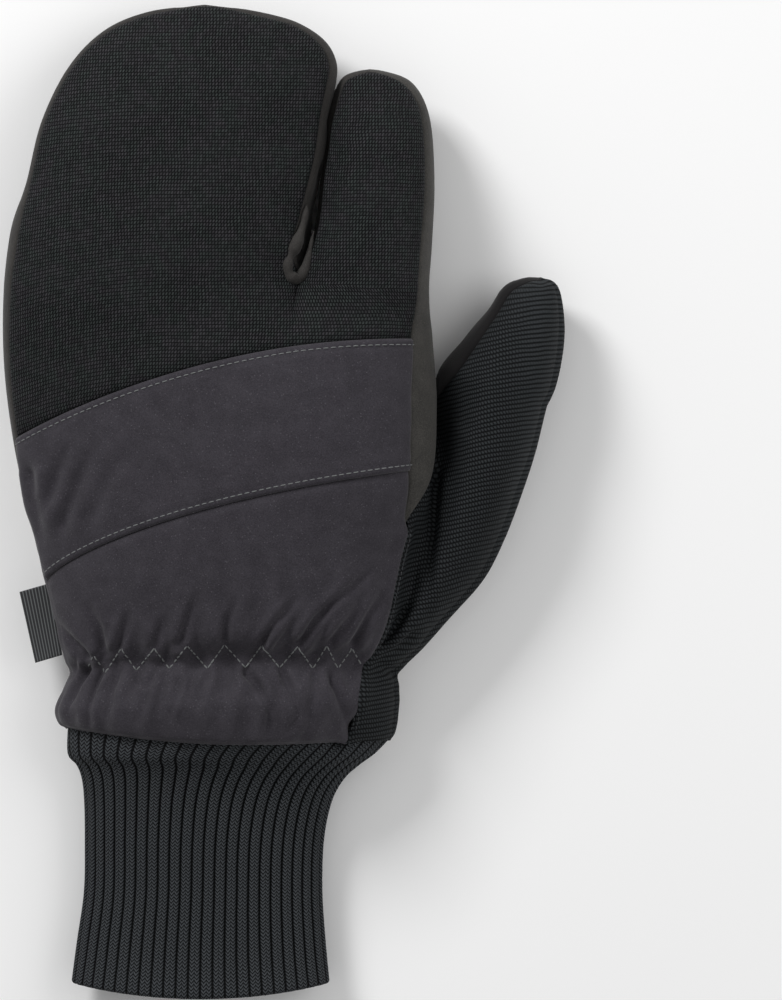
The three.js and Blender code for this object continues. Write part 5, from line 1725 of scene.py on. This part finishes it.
# %% Label
LABEL_WIDTH, LABEL_LENGTH = 9.5 * MM, 22 * MM
low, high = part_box("side_label")
across_steps, along_steps = 24, 44
w, t = np.meshgrid(np.linspace(0, 1, across_steps + 1), np.linspace(0, 1, along_steps + 1))
top = mix(px(50, 583), px(19, 592), w[..., None])
bottom = mix(px(62, 655), px(35, 663), w[..., None])
flat = mix(top, bottom, t[..., None])
bend = 0.35 * MM * np.sin(math.tau * (0.6 * t + 0.2)) * w
grid = np.concatenate([flat, ((low.z + high.z) / 2 + bend)[..., None]], -1).reshape(-1, 3)
cloth = np.stack([w * LABEL_WIDTH, t * LABEL_LENGTH], -1).reshape(-1, 2)
numbers = quads(np.arange(w.size).reshape(w.shape), -1)
label = mesh_from("side_label", grid, numbers.tolist(), cloth[numbers.reshape(-1)], woven_label)
pieces["side_label"] = walled(label, 0.8 * MM)
PANELS["side_label"] = (woven_label, "woven_label")
print("label", grid.min(0).round(4), "to", grid.max(0).round(4))

# %% [markdown]
# ## Floor, light and camera
# Product photos of dark cloth need soft light from above and one side, so that folds cast shade and
# the knit still shows. One lamp gives the shade, a wider and weaker one opposite and a white world
# fill it. The camera stands straight above and far off, so that perspective hardly bends the outline.

# %% Floor
floor_finish = Finish("pale_floor")
place = floor_finish.object_place()
shade = floor_finish.noise(place, 0.3, 2)
colour = floor_finish.blend(shade, tone("efefef"), tone("f3f3f3"))
uneven = floor_finish.bump(shade * 0.01 * MM)
floor_material = floor_finish.surface(colour, 0.9, uneven, Specular_IOR_Level=0.1)
floor_corners = np.array([(-4, -4, 0), (4, -4, 0), (4, 4, 0), (-4, 4, 0)], float)
floor = mesh_from("floor", floor_corners, [[0, 1, 2, 3]], material=floor_material)
floor.location.z = -0.3 * MM

# %% Light
world = bpy.data.worlds.new("studio")
bpy.context.scene.world = world
world.use_nodes = True
world.node_tree.nodes["Background"].inputs["Color"].default_value = (1, 1, 1, 1)
world.node_tree.nodes["Background"].inputs["Strength"].default_value = 0.46


def softbox(name, location, size, power):
    light = bpy.data.lights.new(name, "AREA")
    light.shape = "SQUARE"
    light.size = size
    light.energy = power
    lamp = bpy.data.objects.new(name, light)
    lamp.location = location
    lamp.rotation_mode = "QUATERNION"
    lamp.rotation_quaternion = (-Vector(location)).to_track_quat("-Z", "Y")
    bpy.context.collection.objects.link(lamp)


softbox("key", (-0.8, 1.0, 0.85), 0.5, 17.5)
softbox("fill", (1.0, 0.3, 0.8), 1.0, 6)
bpy.context.scene.view_settings.view_transform = "Standard"

# %% Camera, straight above
FRAME_TALL = 1000 * PHOTO_MM * MM
LOOKS_AT = 15 * MM  # the height at which the picture is as tall as that
camera_data = bpy.data.cameras.new("camera")
camera = bpy.data.objects.new("camera", camera_data)
bpy.context.collection.objects.link(camera)
camera.location = (0.0334, -0.0003, 4.0)
camera_data.lens = camera_data.sensor_width * (camera.location.z - LOOKS_AT) / FRAME_TALL
camera_data.clip_start, camera_data.clip_end = 0.1, 20
bpy.context.scene.camera = camera

# %% [markdown]
# ## The pieces on the body
# Each piece rides on the body's root, and the solid that a panel stands for is hidden.

# %% Ride and replace
for name, piece in pieces.items():
    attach(piece, "root")
    if name in PANELS:
        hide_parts(name)
    name in dressed
